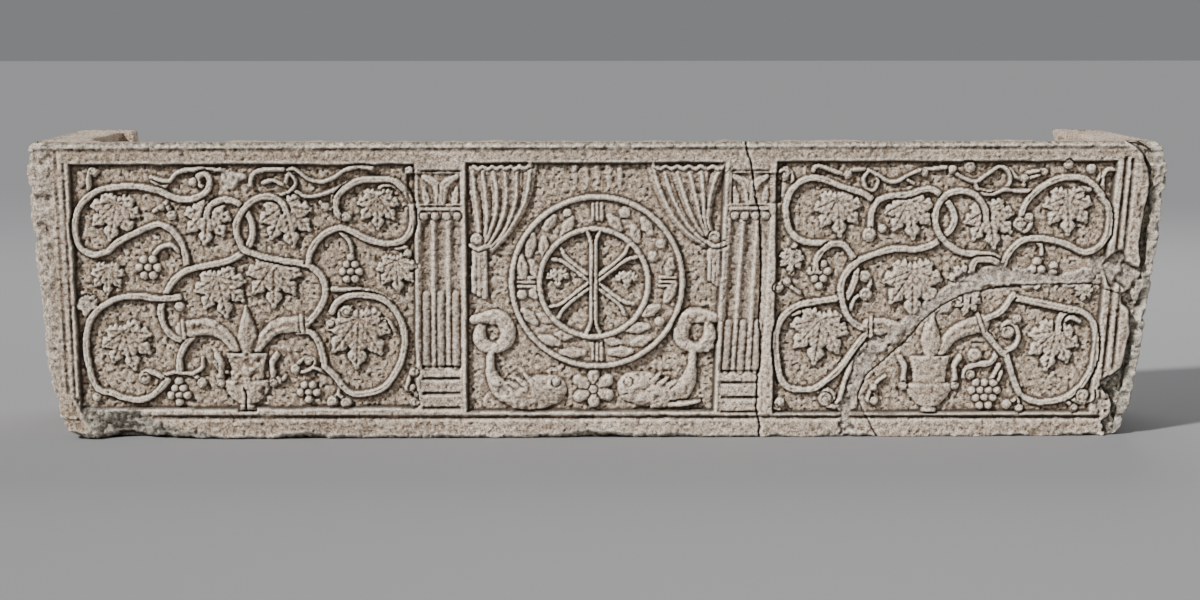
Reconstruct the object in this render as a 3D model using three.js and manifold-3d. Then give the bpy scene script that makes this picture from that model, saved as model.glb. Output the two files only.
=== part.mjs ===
// Stone chest tomb with a carved front, in millimetres, +Z up.
// The front faces -Y, the length lies along X, and the underside rests on z = 0.
import * as THREE from "three";
import ManifoldModule from "manifold-3d";

const wasm = await ManifoldModule();
wasm.setup();
const { Manifold, Mesh: SolidMesh } = wasm;

// ---- driving sizes -------------------------------------------------------
const HEIGHT = 556;            // underside to rim
const HALF_LENGTH = 1058;      // half of the greatest length, near the rim
const FRONT_Y = -300;          // front face at the rim
const FRONT_LEAN = 25;         // how far the front foot stands back from the rim
const BACK_Y_LEFT = 301.4;       // back face at the rim, left end: the wider end
const BACK_Y_RIGHT = 262;      // back face at the rim, right end
const BACK_LEAN = 30;          // how far the back foot stands in from the rim
const WALL = 98;               // wall thickness at the rim
const FLOOR = 112;             // floor thickness
const INNER_DRAFT = 22;        // how much the hollow narrows on each side at its floor
const FIELD_DEPTH = 14;        // how deep the panel grounds are sunk
const RELIEF_TOP = 2;          // carving stands to this far below the frame
const RELIEF_ROOT = 17;        // carving is rooted this far below the frame
const SEGMENT = 50;            // length of one straight facet along a stem
const TOLERANCE = 0.8;         // finest detail kept

// half length of each end at heights above the underside: the ends flare outward
const LEFT_END = [[0, 992], [20, 1003], [60, 1018], [130, 1031], [300, 1045], [500, 1058], [540, 1058],
  [HEIGHT, 1050]];
const RIGHT_END = [[0, 980], [20, 992], [60, 1002], [130, 1014], [300, 1037], [500, 1058], [540, 1050],
  [HEIGHT, 1036]];

// ---- small helpers -------------------------------------------------------
function lookUp(table, z) {
  for (let i = 1; i < table.length; i++) {
    const [z0, v0] = table[i - 1];
    const [z1, v1] = table[i];
    if (z <= z1) return v0 + ((v1 - v0) * (z - z0)) / (z1 - z0);
  }
  return table[table.length - 1][1];
}

function frontY(z) {
  return FRONT_Y + FRONT_LEAN * (1 - z / HEIGHT);
}

function backY(x, z) {
  const t = (x + HALF_LENGTH) / (2 * HALF_LENGTH);
  return BACK_Y_LEFT + (BACK_Y_RIGHT - BACK_Y_LEFT) * t - BACK_LEAN * (1 - z / HEIGHT);
}

// carved work is laid out flat as (x, height, depth), then stood on the leaning front
function onFront(solid) {
  return solid.warp((p) => {
    const [u, v, w] = [p[0], p[1], p[2]];
    p[1] = frontY(v) - w;
    p[2] = v;
    p[0] = u;
  });
}

// a closed solid through rings of points that all have the same count
function loft(rings) {
  const n = rings[0].length;
  const points = [];
  const faces = [];
  for (const ring of rings) for (const p of ring) points.push(...p);
  for (let r = 0; r + 1 < rings.length; r++) {
    for (let i = 0; i < n; i++) {
      const j = (i + 1) % n;
      const a = r * n + i;
      const b = r * n + j;
      faces.push(a, b, b + n, a, b + n, a + n);
    }
  }
  const flat = rings[0].map((p) => new THREE.Vector2(p[0], p[1]));
  const last = rings[rings.length - 1].map((p) => new THREE.Vector2(p[0], p[1]));
  const base = (rings.length - 1) * n;
  for (const [a, b, c] of THREE.ShapeUtils.triangulateShape(flat, [])) faces.push(c, b, a);
  for (const [a, b, c] of THREE.ShapeUtils.triangulateShape(last, [])) faces.push(base + a, base + b, base + c);
  return new Manifold(new SolidMesh({
    numProp: 3,
    vertProperties: new Float32Array(points),
    triVerts: new Uint32Array(faces),
  }));
}

function prism(outline, w0, w1, topScale = 1) {
  const cx = outline.reduce((s, p) => s + p[0], 0) / outline.length;
  const cy = outline.reduce((s, p) => s + p[1], 0) / outline.length;
  const local = outline.map(([x, y]) => [x - cx, y - cy]);
  return Manifold.extrude([local], w1 - w0, 0, 0, [topScale, topScale]).translate([cx, cy, w0]);
}

// ---- the block -----------------------------------------------------------
// plan of the rim, as a share of the half length and an offset from the front or the back
const PLAN_FRONT = [[-0.999, 62], [-0.995, 30], [-0.984, 9], [-0.962, 1], [-0.7, 0], [-0.3, 1], [0.1, 0],
  [0.5, 1], [0.95, 0], [0.957, 5], [0.962, 19], [0.975, 27], [0.99, 36], [1, 66]];
const PLAN_SIDE = [0.3, 0.55, 0.78];
const PLAN_BACK = [[0.99, 46], [0.962, 10], [0.93, 0], [0.5, 2], [0, 0], [-0.5, 3], [-0.93, 0], [-0.97, 12],
  [-0.994, 50]];

function planRing(z) {
  const left = lookUp(LEFT_END, z);
  const right = lookUp(RIGHT_END, z);
  const half = (t) => (t < 0 ? left * t : right * t);
  const ring = PLAN_FRONT.map(([t, d]) => [half(t), frontY(z) + d, z]);
  const swell = (t, z0) => 3 * Math.sin(7 * t + z0 / 90);
  for (const t of PLAN_SIDE) {
    const y = THREE.MathUtils.lerp(frontY(z), backY(right, z), t);
    ring.push([right - Math.abs(swell(t, z)), y, z]);
  }
  for (const [t, d] of PLAN_BACK) ring.push([half(t), backY(half(t), z) - d, z]);
  for (const t of [...PLAN_SIDE].reverse()) {
    const y = THREE.MathUtils.lerp(frontY(z), backY(-left, z), t);
    ring.push([-left + Math.abs(swell(t, z)), y, z]);
  }
  return ring;
}

function block() {
  return loft(LEFT_END.map(([z]) => planRing(z)));
}

// the hollow: rounded corners, sides that narrow a little to the floor
function hollow() {
  const corner = 46;
  const steps = 4;
  const ring = (z) => {
    const inset = WALL + INNER_DRAFT * (1 - (z - FLOOR) / (HEIGHT - FLOOR));
    const x1 = HALF_LENGTH - inset;
    const points = [];
    const corners = [[x1, 1, 0], [-x1, 1, 1], [-x1, -1, 2], [x1, -1, 3]];
    for (const [x, side, quarter] of corners) {
      const edge = side > 0 ? backY(x, HEIGHT) - inset : FRONT_Y + inset;
      const cx = x - Math.sign(x) * corner;
      const cy = edge - side * corner;
      for (let i = 0; i <= steps; i++) {
        const a = (quarter + i / steps) * (Math.PI / 2);
        points.push([cx + corner * Math.cos(a), cy + corner * Math.sin(a), z]);
      }
    }
    return points;
  };
  return loft([ring(FLOOR), ring(FLOOR + 20), ring(HEIGHT + 10)]);
}

// the back wall is broken away between two stubs: [x, height left standing inside, and outside]
const BREAK_LINE = [[-945, 570, 570], [-932, 470, 492], [-885, 402, 430], [-790, 372, 356], [-640, 338, 362],
  [-500, 356, 322], [-350, 300, 318], [-200, 318, 296], [-40, 276, 305], [120, 304, 280], [280, 288, 318],
  [430, 336, 306], [580, 318, 346], [700, 362, 338], [820, 388, 404], [905, 436, 462], [944, 520, 500],
  [957, 570, 570]];

function brokenBack() {
  const inner = 20;
  const outer = 340;
  const top = HEIGHT + 30;
  const side = (y, column) => [
    ...BREAK_LINE.map((b) => [b[0], b[column], y]),
    [BREAK_LINE[BREAK_LINE.length - 1][0], top, y],
    [BREAK_LINE[0][0], top, y],
  ];
  const flat = loft([side(-outer, 2), side(-inner, 1)]);
  return flat.warp((p) => {
    const [u, v, w] = [p[0], p[1], p[2]];
    p[0] = u;
    p[1] = -w;
    p[2] = v;
  });
}

// ---- carving built from stems, leaves and fruit ---------------------------
function smoothPath(points, step = SEGMENT) {
  const curve = new THREE.CatmullRomCurve3(points.map(([u, v]) => new THREE.Vector3(u, v, 0)));
  const count = Math.max(2, Math.round(curve.getLength() / step));
  return curve.getSpacedPoints(count);
}

// a rounded band along a path, made of short wedge facets; halfWidth may change along it
function band(points, halfWidth, top = RELIEF_TOP, step = SEGMENT) {
  const path = smoothPath(points, step);
  const slices = path.map((p, i) => {
    const before = path[Math.max(i - 1, 0)];
    const after = path[Math.min(i + 1, path.length - 1)];
    const along = after.clone().sub(before).normalize();
    const h = typeof halfWidth === "function" ? halfWidth(i / (path.length - 1)) : halfWidth;
    const at = (s, w) => [p.x - along.y * s, p.y + along.x * s, w];
    return [at(-h, -RELIEF_ROOT), at(h, -RELIEF_ROOT), at(0.5 * h, -top), at(-0.5 * h, -top)];
  });
  const facets = [];
  for (let i = 0; i + 1 < slices.length; i++) facets.push(Manifold.hull([...slices[i], ...slices[i + 1]]));
  return facets;
}

function leaf([u, v], size, degrees, lobes = 5) {
  const turn = THREE.MathUtils.degToRad(degrees);
  const outline = [];
  for (let i = 0; i < lobes; i++) {
    const lobe = turn + (i - (lobes - 1) / 2) * (4.4 / lobes);
    const reach = size * (1 - 0.18 * Math.abs(i - (lobes - 1) / 2));
    const gap = 2.2 / lobes;
    outline.push([u + reach * Math.cos(lobe), v + reach * Math.sin(lobe)]);
    outline.push([u + 0.5 * reach * Math.cos(lobe + gap), v + 0.5 * reach * Math.sin(lobe + gap)]);
  }
  outline.push([u - 0.3 * size * Math.cos(turn), v - 0.3 * size * Math.sin(turn)]);
  return prism(outline, -RELIEF_ROOT, -RELIEF_TOP - 3, 0.78);
}

// a low dome with straight roots, so nothing is undercut
function dome([u, v], across, up, top) {
  const ring = (share, w) => [0, 1, 2, 3, 4, 5].map((i) => {
    const a = (i * Math.PI) / 3;
    return [u + across * share * Math.cos(a), v + up * share * Math.sin(a), w];
  });
  return Manifold.hull([...ring(1, -RELIEF_ROOT), ...ring(0.55, -top)]);
}

// ---- vine panels: [half width, path as [x, height]] ------------------------
const STEMS_LEFT = [
  [8, [[-912, 354], [-950, 352], [-971, 406], [-959, 441], [-906, 472], [-845, 473], [-764, 450], [-723, 473],
    [-724, 495], [-742, 494]]],
  [8, [[-912, 354], [-856, 391], [-808, 402], [-775, 368], [-767, 325]]],
  [8, [[-729, 416], [-716, 443], [-675, 446], [-647, 412], [-649, 370], [-675, 344], [-760, 321], [-798, 291],
    [-817, 233], [-791, 191], [-773, 189]]],
  [8, [[-581, 425], [-608, 455], [-650, 443], [-675, 393], [-657, 354], [-604, 339], [-535, 323], [-512, 277],
    [-546, 220], [-565, 212]]],
  [9, [[-808, 112], [-845, 79], [-895, 81], [-936, 95], [-957, 183], [-933, 245], [-860, 271], [-783, 268]]],
  [10, [[-785, 129], [-772, 181], [-733, 210], [-697, 189], [-685, 168]]],
  [10, [[-638, 156], [-612, 198], [-565, 206], [-527, 185], [-516, 137]]],
  [8, [[-542, 329], [-527, 372], [-485, 397], [-400, 368], [-356, 385], [-352, 445], [-385, 485], [-446, 485],
    [-490, 441], [-473, 415], [-465, 422]]],
  [9, [[-500, 241], [-469, 270], [-408, 264], [-366, 183], [-404, 98], [-462, 85], [-515, 137]]],
  [5, [[-581, 483], [-569, 508], [-515, 483], [-450, 510], [-423, 508]]],
  [5, [[-829, 492], [-795, 485], [-770, 504], [-714, 507]]],
  [5, [[-571, 468], [-519, 458], [-469, 481]]],
  [5, [[-943, 468], [-940, 502], [-927, 502]]],
  [5, [[-512, 283], [-446, 281], [-392, 262]]],
  [5, [[-808, 112], [-845, 129], [-850, 112]]],
];
const STEMS_RIGHT = [
  [8, [[504, 448], [450, 471], [390, 488], [345, 445], [350, 395], [388, 368], [433, 367]]],
  [8, [[401, 314], [412, 352], [452, 363], [476, 306], [460, 264]]],
  [8, [[502, 391], [510, 439], [573, 458], [617, 466], [652, 433], [652, 393], [615, 362], [538, 354], [460, 314],
    [450, 264], [479, 212], [527, 208]]],
  [8, [[718, 406], [698, 454], [652, 461], [622, 412], [652, 360], [702, 345], [750, 329]]],
  [8, [[683, 252], [695, 325], [733, 333], [748, 322]]],
  [8, [[750, 314], [787, 371], [841, 371], [905, 350], [945, 383], [944, 437], [929, 454]]],
  [8, [[802, 412], [789, 389], [784, 425], [837, 481], [891, 488], [934, 454]]],
  [9, [[438, 262], [377, 252], [329, 198], [337, 114], [373, 90], [419, 104], [485, 181], [531, 198]]],
  [10, [[625, 152], [658, 193], [704, 203], [742, 170], [708, 137], [683, 114]]],
  [9, [[761, 156], [793, 77], [852, 66], [920, 122], [929, 191], [887, 240], [858, 198]]],
  [9, [[779, 262], [883, 240]]],
  [5, [[695, 481], [720, 463], [757, 475], [743, 509], [704, 485]]],
  [5, [[394, 502], [410, 510], [452, 495], [488, 505]]],
  [5, [[496, 502], [487, 480], [508, 470], [513, 491], [540, 482], [592, 502], [640, 508]]],
  [5, [[702, 459], [750, 466], [806, 464]]],
  [5, [[935, 448], [934, 491], [956, 502]]],
  [6, [[438, 81], [417, 75], [440, 56], [458, 106], [494, 175]]],
  [6, [[758, 191], [766, 217], [782, 178], [759, 162]]],
];
// [centre, size, direction in degrees]
const LEAVES = [
  [[-887, 410], 42, 200], [[-741, 402], 40, 160], [[-925, 295], 36, 120], [[-868, 172], 58, 220],
  [[-722, 268], 48, 230], [[-600, 402], 44, 250], [[-546, 406], 42, 330], [[-588, 291], 42, 300],
  [[-404, 422], 36, 270], [[-450, 175], 62, 270], [[-377, 314], 34, 250], [[435, 406], 42, 270],
  [[538, 406], 38, 220], [[596, 406], 40, 300], [[702, 395], 42, 250], [[752, 406], 38, 320],
  [[852, 414], 44, 200], [[891, 410], 36, 320], [[550, 287], 44, 230], [[604, 283], 40, 300],
  [[675, 240], 26, 260], [[400, 191], 44, 220], [[454, 202], 34, 330], [[833, 172], 48, 230],
  [[879, 191], 36, 300],
];
// [centre of the bunch, how many berries]
const BUNCHES = [
  [[-842, 325], 7], [[-458, 318], 6], [[-786, 84], 5], [[-552, 84], 5], [[-792, 422], 2], [[-470, 240], 1],
  [[-498, 70], 2], [[408, 312], 5], [[816, 318], 7], [[718, 80], 7], [[498, 384], 1], [[496, 268], 1],
  [[780, 54], 2], [[898, 66], 2],
];

function bunch([u, v], count) {
  const radius = 9;
  const berries = [];
  for (let i = 0; i < count; i++) {
    const a = i * 2.4;
    const r = i === 0 ? 0 : radius * 1.55;
    const shift = i > 5 ? radius * 1.6 : 0;
    berries.push(dome([u + r * Math.cos(a), v + r * Math.sin(a) - shift], radius, radius, RELIEF_TOP));
  }
  return berries;
}

// footed vase, seen from the side, as [height above its foot, half width]
const VASE = [[0, 26], [8, 24], [14, 15], [22, 28], [40, 40], [52, 41], [60, 33], [84, 28], [98, 33], [104, 36]];

function vase(u, foot) {
  const outline = [...VASE.map(([h, r]) => [r, h]), ...[...VASE].reverse().map(([h, r]) => [-r, h])];
  const placed = outline.map(([r, h]) => [u + r, foot + h]);
  const body = prism(placed, -RELIEF_ROOT, -RELIEF_TOP, 0.86);
  const bud = band([[u, foot + 100], [u + 2, foot + 140], [u, foot + 196]], (t) => 4 + 15 * Math.sin(2.8 * t));
  const handles = [-1, 1].flatMap((s) => band(
    [[u + 34 * s, foot + 62], [u + 54 * s, foot + 74], [u + 58 * s, foot + 104], [u + 36 * s, foot + 98]], 6));
  return [body, ...bud, ...handles];
}

// ---- centre panel ----------------------------------------------------------
const RING = { u: -7, v: 295, radius: 159 };
const INNER_RING = { u: -13, v: 293, radius: 101 };

function ringBand({ u, v, radius }, half) {
  const section = [[radius - half, 0], [radius + half, 0], [radius + 0.5 * half, RELIEF_ROOT - RELIEF_TOP],
    [radius - 0.5 * half, RELIEF_ROOT - RELIEF_TOP]];
  return Manifold.revolve([section], 32).translate([u, v, -RELIEF_ROOT]);
}

// leaves laid like tiles round the garland between the two rings, bound by four ties
function garland() {
  const pieces = [];
  const rows = [119, 141];
  const perRow = 12;
  rows.forEach((r, row) => {
    for (let i = 0; i < perRow; i++) {
      const a = ((i + 0.5 * row) / perRow) * 2 * Math.PI;
      const along = [-Math.sin(a), Math.cos(a)];
      const out = [Math.cos(a), Math.sin(a)];
      const at = (s, t, w) => [RING.u + out[0] * (r + t) + along[0] * s, RING.v + out[1] * (r + t) + along[1] * s, w];
      pieces.push(Manifold.hull([at(-28, 0, -RELIEF_ROOT), at(0, -12, -RELIEF_ROOT), at(24, 0, -RELIEF_ROOT),
        at(0, 12, -RELIEF_ROOT), at(6, 0, -RELIEF_TOP - 3)]));
    }
  });
  for (let q = 0; q < 4; q++) {
    const a = (q * Math.PI) / 2;
    const ends = [108, 153].map((r) => [RING.u + r * Math.cos(a), RING.v + r * Math.sin(a)]);
    pieces.push(...band(ends, 15, RELIEF_TOP, 60));
  }
  return pieces;
}

// six arms that meet inside the inner ring, each a double line with a flared end
function star() {
  const hub = [-14, 289];
  const arms = [[38, 96], [90, 101], [142, 84], [218, 96], [270, 94], [322, 82]];
  const pieces = [];
  for (const [degrees, reach] of arms) {
    const a = THREE.MathUtils.degToRad(degrees);
    for (const side of [-5, 5]) {
      const at = (r, s) => [hub[0] + r * Math.cos(a) - s * Math.sin(a), hub[1] + r * Math.sin(a) + s * Math.cos(a)];
      pieces.push(...band([at(0, side), at(reach * 0.8, side), at(reach, side * 2.4)], 4.5, RELIEF_TOP, 60));
    }
  }
  const studs = [[-84, 306], [44, 298]];
  for (const [u, v] of studs) pieces.push(prism(diamond(u, v, 17, 22), -RELIEF_ROOT, -RELIEF_TOP - 3, 0.6));
  return pieces;
}

function diamond(u, v, a, b) {
  return [[u - a, v], [u, v - b], [u + a, v], [u, v + b]];
}

// gathered hangings: folds run from the top edge down to a knot, with a tail below it
function hanging(topEdge, knot, tailWidth, tailFoot) {
  const folds = 6;
  const pieces = [];
  for (let i = 0; i < folds; i++) {
    const t = i / (folds - 1);
    const u = THREE.MathUtils.lerp(topEdge[0], topEdge[1], t);
    const sag = THREE.MathUtils.lerp(u, knot[0], 0.34);
    const path = [[u, 519], [sag, 432], [THREE.MathUtils.lerp(u, knot[0], 0.9), knot[1]]];
    pieces.push(...band(path, (s) => 9 - 5 * s, RELIEF_TOP + 2, 70));
  }
  pieces.push(dome(knot, 19, 14, 0));
  const [u0, u1] = tailWidth;
  const tail = [[u0, knot[1] - 8], [u0, tailFoot + 12], [u1, tailFoot], [u1, knot[1] - 8]];
  pieces.push(prism(tail, -RELIEF_ROOT, -RELIEF_TOP - 4, 0.9));
  return pieces;
}

// a fish with a curled tail that rises beside the garland
function fish(path) {
  const body = band(path, (t) => 10 + 20 * t * t + 4 * Math.sin(9 * t), RELIEF_TOP, 22);
  const [u, v] = path[path.length - 1];
  const toward = Math.sign(-7 - u);
  const snout = band([[u - toward * 10, v], [u + toward * 18, v - 4], [u + toward * 34, v - 18]],
    (t) => 24 - 17 * t, RELIEF_TOP, 24);
  return [...body, ...snout];
}

const FISH_LEFT = [[-186, 206], [-204, 219], [-224, 205], [-214, 178], [-203, 137], [-184, 100], [-150, 84], [-105, 88]];
const FISH_RIGHT = [[166, 206], [182, 222], [203, 206], [196, 178], [180, 133], [164, 98], [132, 84], [84, 86]];

// ---- frame, mouldings and pilasters ------------------------------------------
const FIELDS = [
  [[-971, 58], [-345, 58], [-345, 518], [-979, 518]],
  [[-252, 50], [214, 50], [232, 520], [-252, 520]],
  [[322, 46], [924, 46], [962, 521], [322, 521]],
];
const FLUTES_LEFT = [-323, -296, -269];
const FLUTES_RIGHT = [[244, 236], [273, 262], [300, 288]];

function groove(points, half, depth) {
  const [a, b] = points;
  const length = Math.hypot(b[0] - a[0], b[1] - a[1]);
  const angle = (Math.atan2(b[1] - a[1], b[0] - a[0]) * 180) / Math.PI;
  const section = [[0, -half], [0, half], [-depth, 0]];
  const wedge = Manifold.hull(section.flatMap(([w, s]) => [[0, s, w], [length, s, w]]));
  const lid = Manifold.hull([[0, -half, 0], [length, -half, 0], [length, half, 0], [0, half, 0],
    [0, -half, 8], [length, -half, 8], [length, half, 8], [0, half, 8]]);
  return wedge.add(lid).rotate([0, 0, angle]).translate([a[0], a[1], 0]);
}

function mouldings() {
  const lines = [
    [[[-1045, 542], [1040, 542]], 4, 5],
    [[[-845, 43], [940, 38]], 5, 6],
    [[[-998, 540], [-982, 90]], 4, 5],
    [[[980, 528], [944, 110]], 5, 7],
    [[[996, 520], [966, 120]], 4, 6],
    [[[-340, 524], [-340, 56]], 3, 4],
    [[[-257, 524], [-257, 50]], 3, 4],
    [[[237, 524], [219, 48]], 3, 4],
    [[[317, 524], [304, 48]], 3, 4],
  ];
  return lines.map(([points, half, depth]) => groove(points, half, depth));
}

// a flute is a hollow channel above, and is filled by a rounded reed below
function flute(topU, footU, reedTop, foot) {
  const cutter = (v0, v1) => {
    const tilt = (v) => THREE.MathUtils.lerp(footU, topU, (v - foot) / (410 - foot));
    const ring = (v) => {
      const points = [];
      for (let i = 0; i <= 6; i++) {
        const a = Math.PI + (i / 6) * Math.PI;
        points.push([tilt(v) + 11 * Math.cos(a), v, 10 * Math.sin(a) + 1]);
      }
      points.push([tilt(v) + 11, v, 12], [tilt(v) - 11, v, 12]);
      return points;
    };
    return Manifold.hull([...ring(v0), ...ring(v1)]);
  };
  const channel = cutter(foot, 410);
  const reed = (v) => [0, 1, 2, 3, 4].map((i) => {
    const a = (i / 4) * Math.PI;
    const u = THREE.MathUtils.lerp(footU, topU, (v - foot) / (410 - foot));
    return [u + 9 * Math.cos(a), v, -12 + 10 * Math.sin(a)];
  });
  const filling = Manifold.hull([...reed(foot), ...reed(reedTop), [topU, reedTop + 10, -12]]);
  return { channel, filling };
}

function pilasterCuts(u0, u1, lean, foot) {
  const cuts = [];
  const bandLines = [0, 20, 52, 78];
  for (const h of bandLines) cuts.push(groove([[u0 + lean, foot + h], [u1 + lean, foot + h]], 4, 8));
  cuts.push(groove([[u0, 503], [u1, 503]], 4, 8));
  cuts.push(groove([[u0, 426], [u1, 426]], 3, 7));
  cuts.push(groove([[u0, 438], [u1, 438]], 3, 7));
  for (const t of [0.2, 0.5, 0.8]) {
    const u = THREE.MathUtils.lerp(u0, u1, t);
    cuts.push(groove([[u, 446], [u + 12 * (t - 0.5), 497]], 5, 8));
  }
  return cuts;
}

// ---- old damage ----------------------------------------------------------------
function damage() {
  const at = (u, v, w) => [u, frontY(v) - w, v];
  const footBreak = Manifold.hull([at(-1100, 118, 30), at(-1100, -40, 30), at(-560, -40, 30), at(-700, 8, 30),
    at(-840, 46, 30), at(-985, 92, 30), at(-1100, 60, -120), at(-1100, -40, -120), at(-640, -40, -70),
    at(-980, 30, -64), at(-840, 8, -52)]);
  const sideChip = Manifold.sphere(1, 12).scale([74, 20, 34]).rotate([0, -14, 0]).translate(at(958, 326, 4));
  const footChip = Manifold.hull([at(935, 96, 10), at(985, 128, 10), at(1010, 60, 10), at(955, 70, -26),
    at(1000, 40, -30)]);
  const cornerChip = Manifold.hull([at(930, 36, 12), at(1010, 62, 12), at(1010, -20, 12), at(952, 8, -20),
    at(1010, -20, -40)]);
  const rimChip = Manifold.sphere(1, 8).scale([46, 70, 13]).translate([-1052, -236, HEIGHT + 3]);
  return [footBreak, sideChip, footChip, cornerChip, rimChip];
}

// ---- put together ----------------------------------------------------------------
function carving() {
  const pieces = [];
  for (const [half, path] of [...STEMS_LEFT, ...STEMS_RIGHT]) pieces.push(...band(path, half));
  for (const [centre, size, degrees] of LEAVES) pieces.push(leaf(centre, size, degrees));
  for (const [centre, count] of BUNCHES) pieces.push(...bunch(centre, count));
  pieces.push(...vase(-660, 56), ...vase(617, 46));
  pieces.push(ringBand(RING, 7), ringBand(INNER_RING, 7), ...garland(), ...star());
  pieces.push(...hanging([-244, -134], [-230, 374], [-240, -212], 272));
  pieces.push(...hanging([98, 226], [206, 378], [197, 222], 290));
  pieces.push(...fish(FISH_LEFT), ...fish(FISH_RIGHT));
  pieces.push(leaf([-20, 84], 30, 270, 5), ...bunch([-4, 106], 4));
  return Manifold.union(pieces);
}

function frontWork(body) {
  const cuts = FIELDS.map((outline) => prism(outline, -FIELD_DEPTH, 20));
  const reeds = [];
  for (const u of FLUTES_LEFT) {
    const { channel, filling } = flute(u, u, 268, 140);
    cuts.push(channel);
    reeds.push(filling);
  }
  for (const [top, foot] of FLUTES_RIGHT) {
    const { channel, filling } = flute(top, foot, 214, 124);
    cuts.push(channel);
    reeds.push(filling);
  }
  cuts.push(...mouldings(), ...pilasterCuts(-337, -260, 0, 58), ...pilasterCuts(240, 314, -14, 44));
  const cleared = body.subtract(onFront(Manifold.union(cuts)));
  return cleared.add(onFront(Manifold.union([...reeds, carving()])));
}

function trough() {
  const shell = block().subtract(hollow()).subtract(brokenBack());
  const carved = frontWork(shell).subtract(Manifold.union(damage())).simplify(TOLERANCE);
  const parts = carved.decompose().sort((a, b) => b.volume() - a.volume());
  return parts[0];
}

function toGeometry(solid) {
  const mesh = solid.getMesh();
  const geometry = new THREE.BufferGeometry();
  const positions = [];
  for (let i = 0; i < mesh.numVert; i++) {
    for (let k = 0; k < 3; k++) positions.push(mesh.vertProperties[i * mesh.numProp + k]);
  }
  geometry.setAttribute("position", new THREE.Float32BufferAttribute(positions, 3));
  geometry.setIndex(Array.from(mesh.triVerts));
  geometry.computeVertexNormals();
  return geometry;
}

const stone = new THREE.MeshStandardMaterial({ color: 0xa89682, roughness: 0.95, metalness: 0 });
stone.name = "stone";

const chest = new THREE.Mesh(toGeometry(trough()), stone);
chest.name = "trough";

const model = new THREE.Group();
model.name = "stone_sarcophagus";
model.add(chest);

export default model;
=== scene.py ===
"""A stone chest tomb with a front carved in low relief: vines, pilasters, a garland ring and fish.

Lengths in the tables below are millimetres. The front faces -Y, X runs along the length and the
underside rests on z = 0. The carved front is a height map laid over the leaning front face.
"""

import math

import bpy
import numpy as np
from mathutils import Euler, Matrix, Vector


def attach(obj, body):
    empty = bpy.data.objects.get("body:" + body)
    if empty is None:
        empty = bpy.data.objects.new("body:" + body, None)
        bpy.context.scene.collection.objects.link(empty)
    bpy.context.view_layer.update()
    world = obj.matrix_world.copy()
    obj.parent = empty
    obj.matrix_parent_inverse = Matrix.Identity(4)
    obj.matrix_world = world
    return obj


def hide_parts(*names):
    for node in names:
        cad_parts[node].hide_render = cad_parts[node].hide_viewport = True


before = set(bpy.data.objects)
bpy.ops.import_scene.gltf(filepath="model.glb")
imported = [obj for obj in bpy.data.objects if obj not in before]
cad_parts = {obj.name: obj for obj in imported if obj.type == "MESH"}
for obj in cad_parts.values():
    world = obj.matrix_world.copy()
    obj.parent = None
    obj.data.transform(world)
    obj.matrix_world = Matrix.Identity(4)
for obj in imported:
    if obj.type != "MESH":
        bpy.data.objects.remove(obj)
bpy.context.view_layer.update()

MM = 0.001

# ---- the block ----
HEIGHT = 556.0
HALF_LENGTH = 1058.0
HALF_DEPTH = 300.0
BACK_LEFT = 301.4           # back face at the rim, at the left end and at the right
BACK_RIGHT = 262.0
FRONT_LEAN = 25.0
BACK_LEAN = 30.0
WALL = 98.0
FLOOR = 112.0
INNER_DRAFT = 22.0
SLAB = 60.0                 # thickness of the carved front pieces that sit in the block
FINE = 1.9                  # spacing of the carved surface
COARSE = 9.0                # spacing of the plain faces

# each end: height above the underside, distance from the middle. The ends flare outward
LEFT_END = [(0, 992), (20, 1003), (60, 1018), (130, 1031), (300, 1045), (500, 1058), (540, 1058),
            (HEIGHT, 1050)]
RIGHT_END = [(0, 980), (20, 992), (60, 1002), (130, 1014), (300, 1037), (500, 1058), (540, 1050),
             (HEIGHT, 1036)]
WIDEST = 1.08               # rim length over foot length, at most

# plan of the rim, from the left end round the front to the right end
FRONT_PLAN = [(-1058, -225), (-1059, -262), (-1056, -282), (-1047, -295), (-1032, -300), (1034, -300),
              (1048, -295), (1056, -282), (1059, -262), (1058, -225)]
# and from the right end round the back to the left end
BACK_PLAN = [(1058, -225), (1056, 0), (1057, 190), (1050, 222), (1026, 250), (990, 264), (500, 280),
             (0, 281), (-500, 290), (-990, 300), (-1026, 291), (-1049, 262), (-1056, 225), (-1054, 0),
             (-1058, -225)]
# top of the back wall: x, height of its inner edge and of its outer edge. UNBROKEN is above the rim
UNBROKEN = 570
BREAK_LINE = [
    (-945, UNBROKEN, UNBROKEN), (-932, 470, 492), (-885, 402, 430), (-790, 372, 356), (-640, 338, 362),
    (-500, 356, 322), (-350, 300, 318), (-200, 318, 296), (-40, 276, 305), (120, 304, 280),
    (280, 288, 318), (430, 336, 306), (580, 318, 346), (700, 362, 338), (820, 388, 404), (905, 436, 462),
    (952, 520, 500), (967, UNBROKEN, UNBROKEN),
]
# right edge of the carved face, beyond which the corner is set back: height, x
SLAB_EDGE = [(0, 950), (60, 962), (110, 952), (130, 976), (195, 991), (262, 987), (330, 1006), (370, 1004),
             (460, 1017), (505, 1014), (530, 1004), (545, 990), (556, 972)]

# ---- carving, measured from the frame's face ----
GROUND = -15.0
TOP = -1.5
SET_BACK = 27.0             # depth of the right corner behind the carved face
CHANNEL_RISE = 7.0          # how much a channel's floor rises away from the form beside it
EDGE_WOBBLE = 0.7           # how far a carved edge wanders
EVERYWHERE = (slice(None), slice(None))


# ---- noise ----
def lattice(ix, iy, iz, seed):
    """One repeatable value in -1..1 for each whole-number point."""
    h = (ix * 374761393 + iy * 668265263 + iz * 2246822519 + seed * 3266489917) & 0xFFFFFFFF
    h = ((h ^ (h >> 13)) * 1274126177) & 0xFFFFFFFF
    return ((h ^ (h >> 16)) & 0xFFFF) / 32767.5 - 1.0


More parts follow.
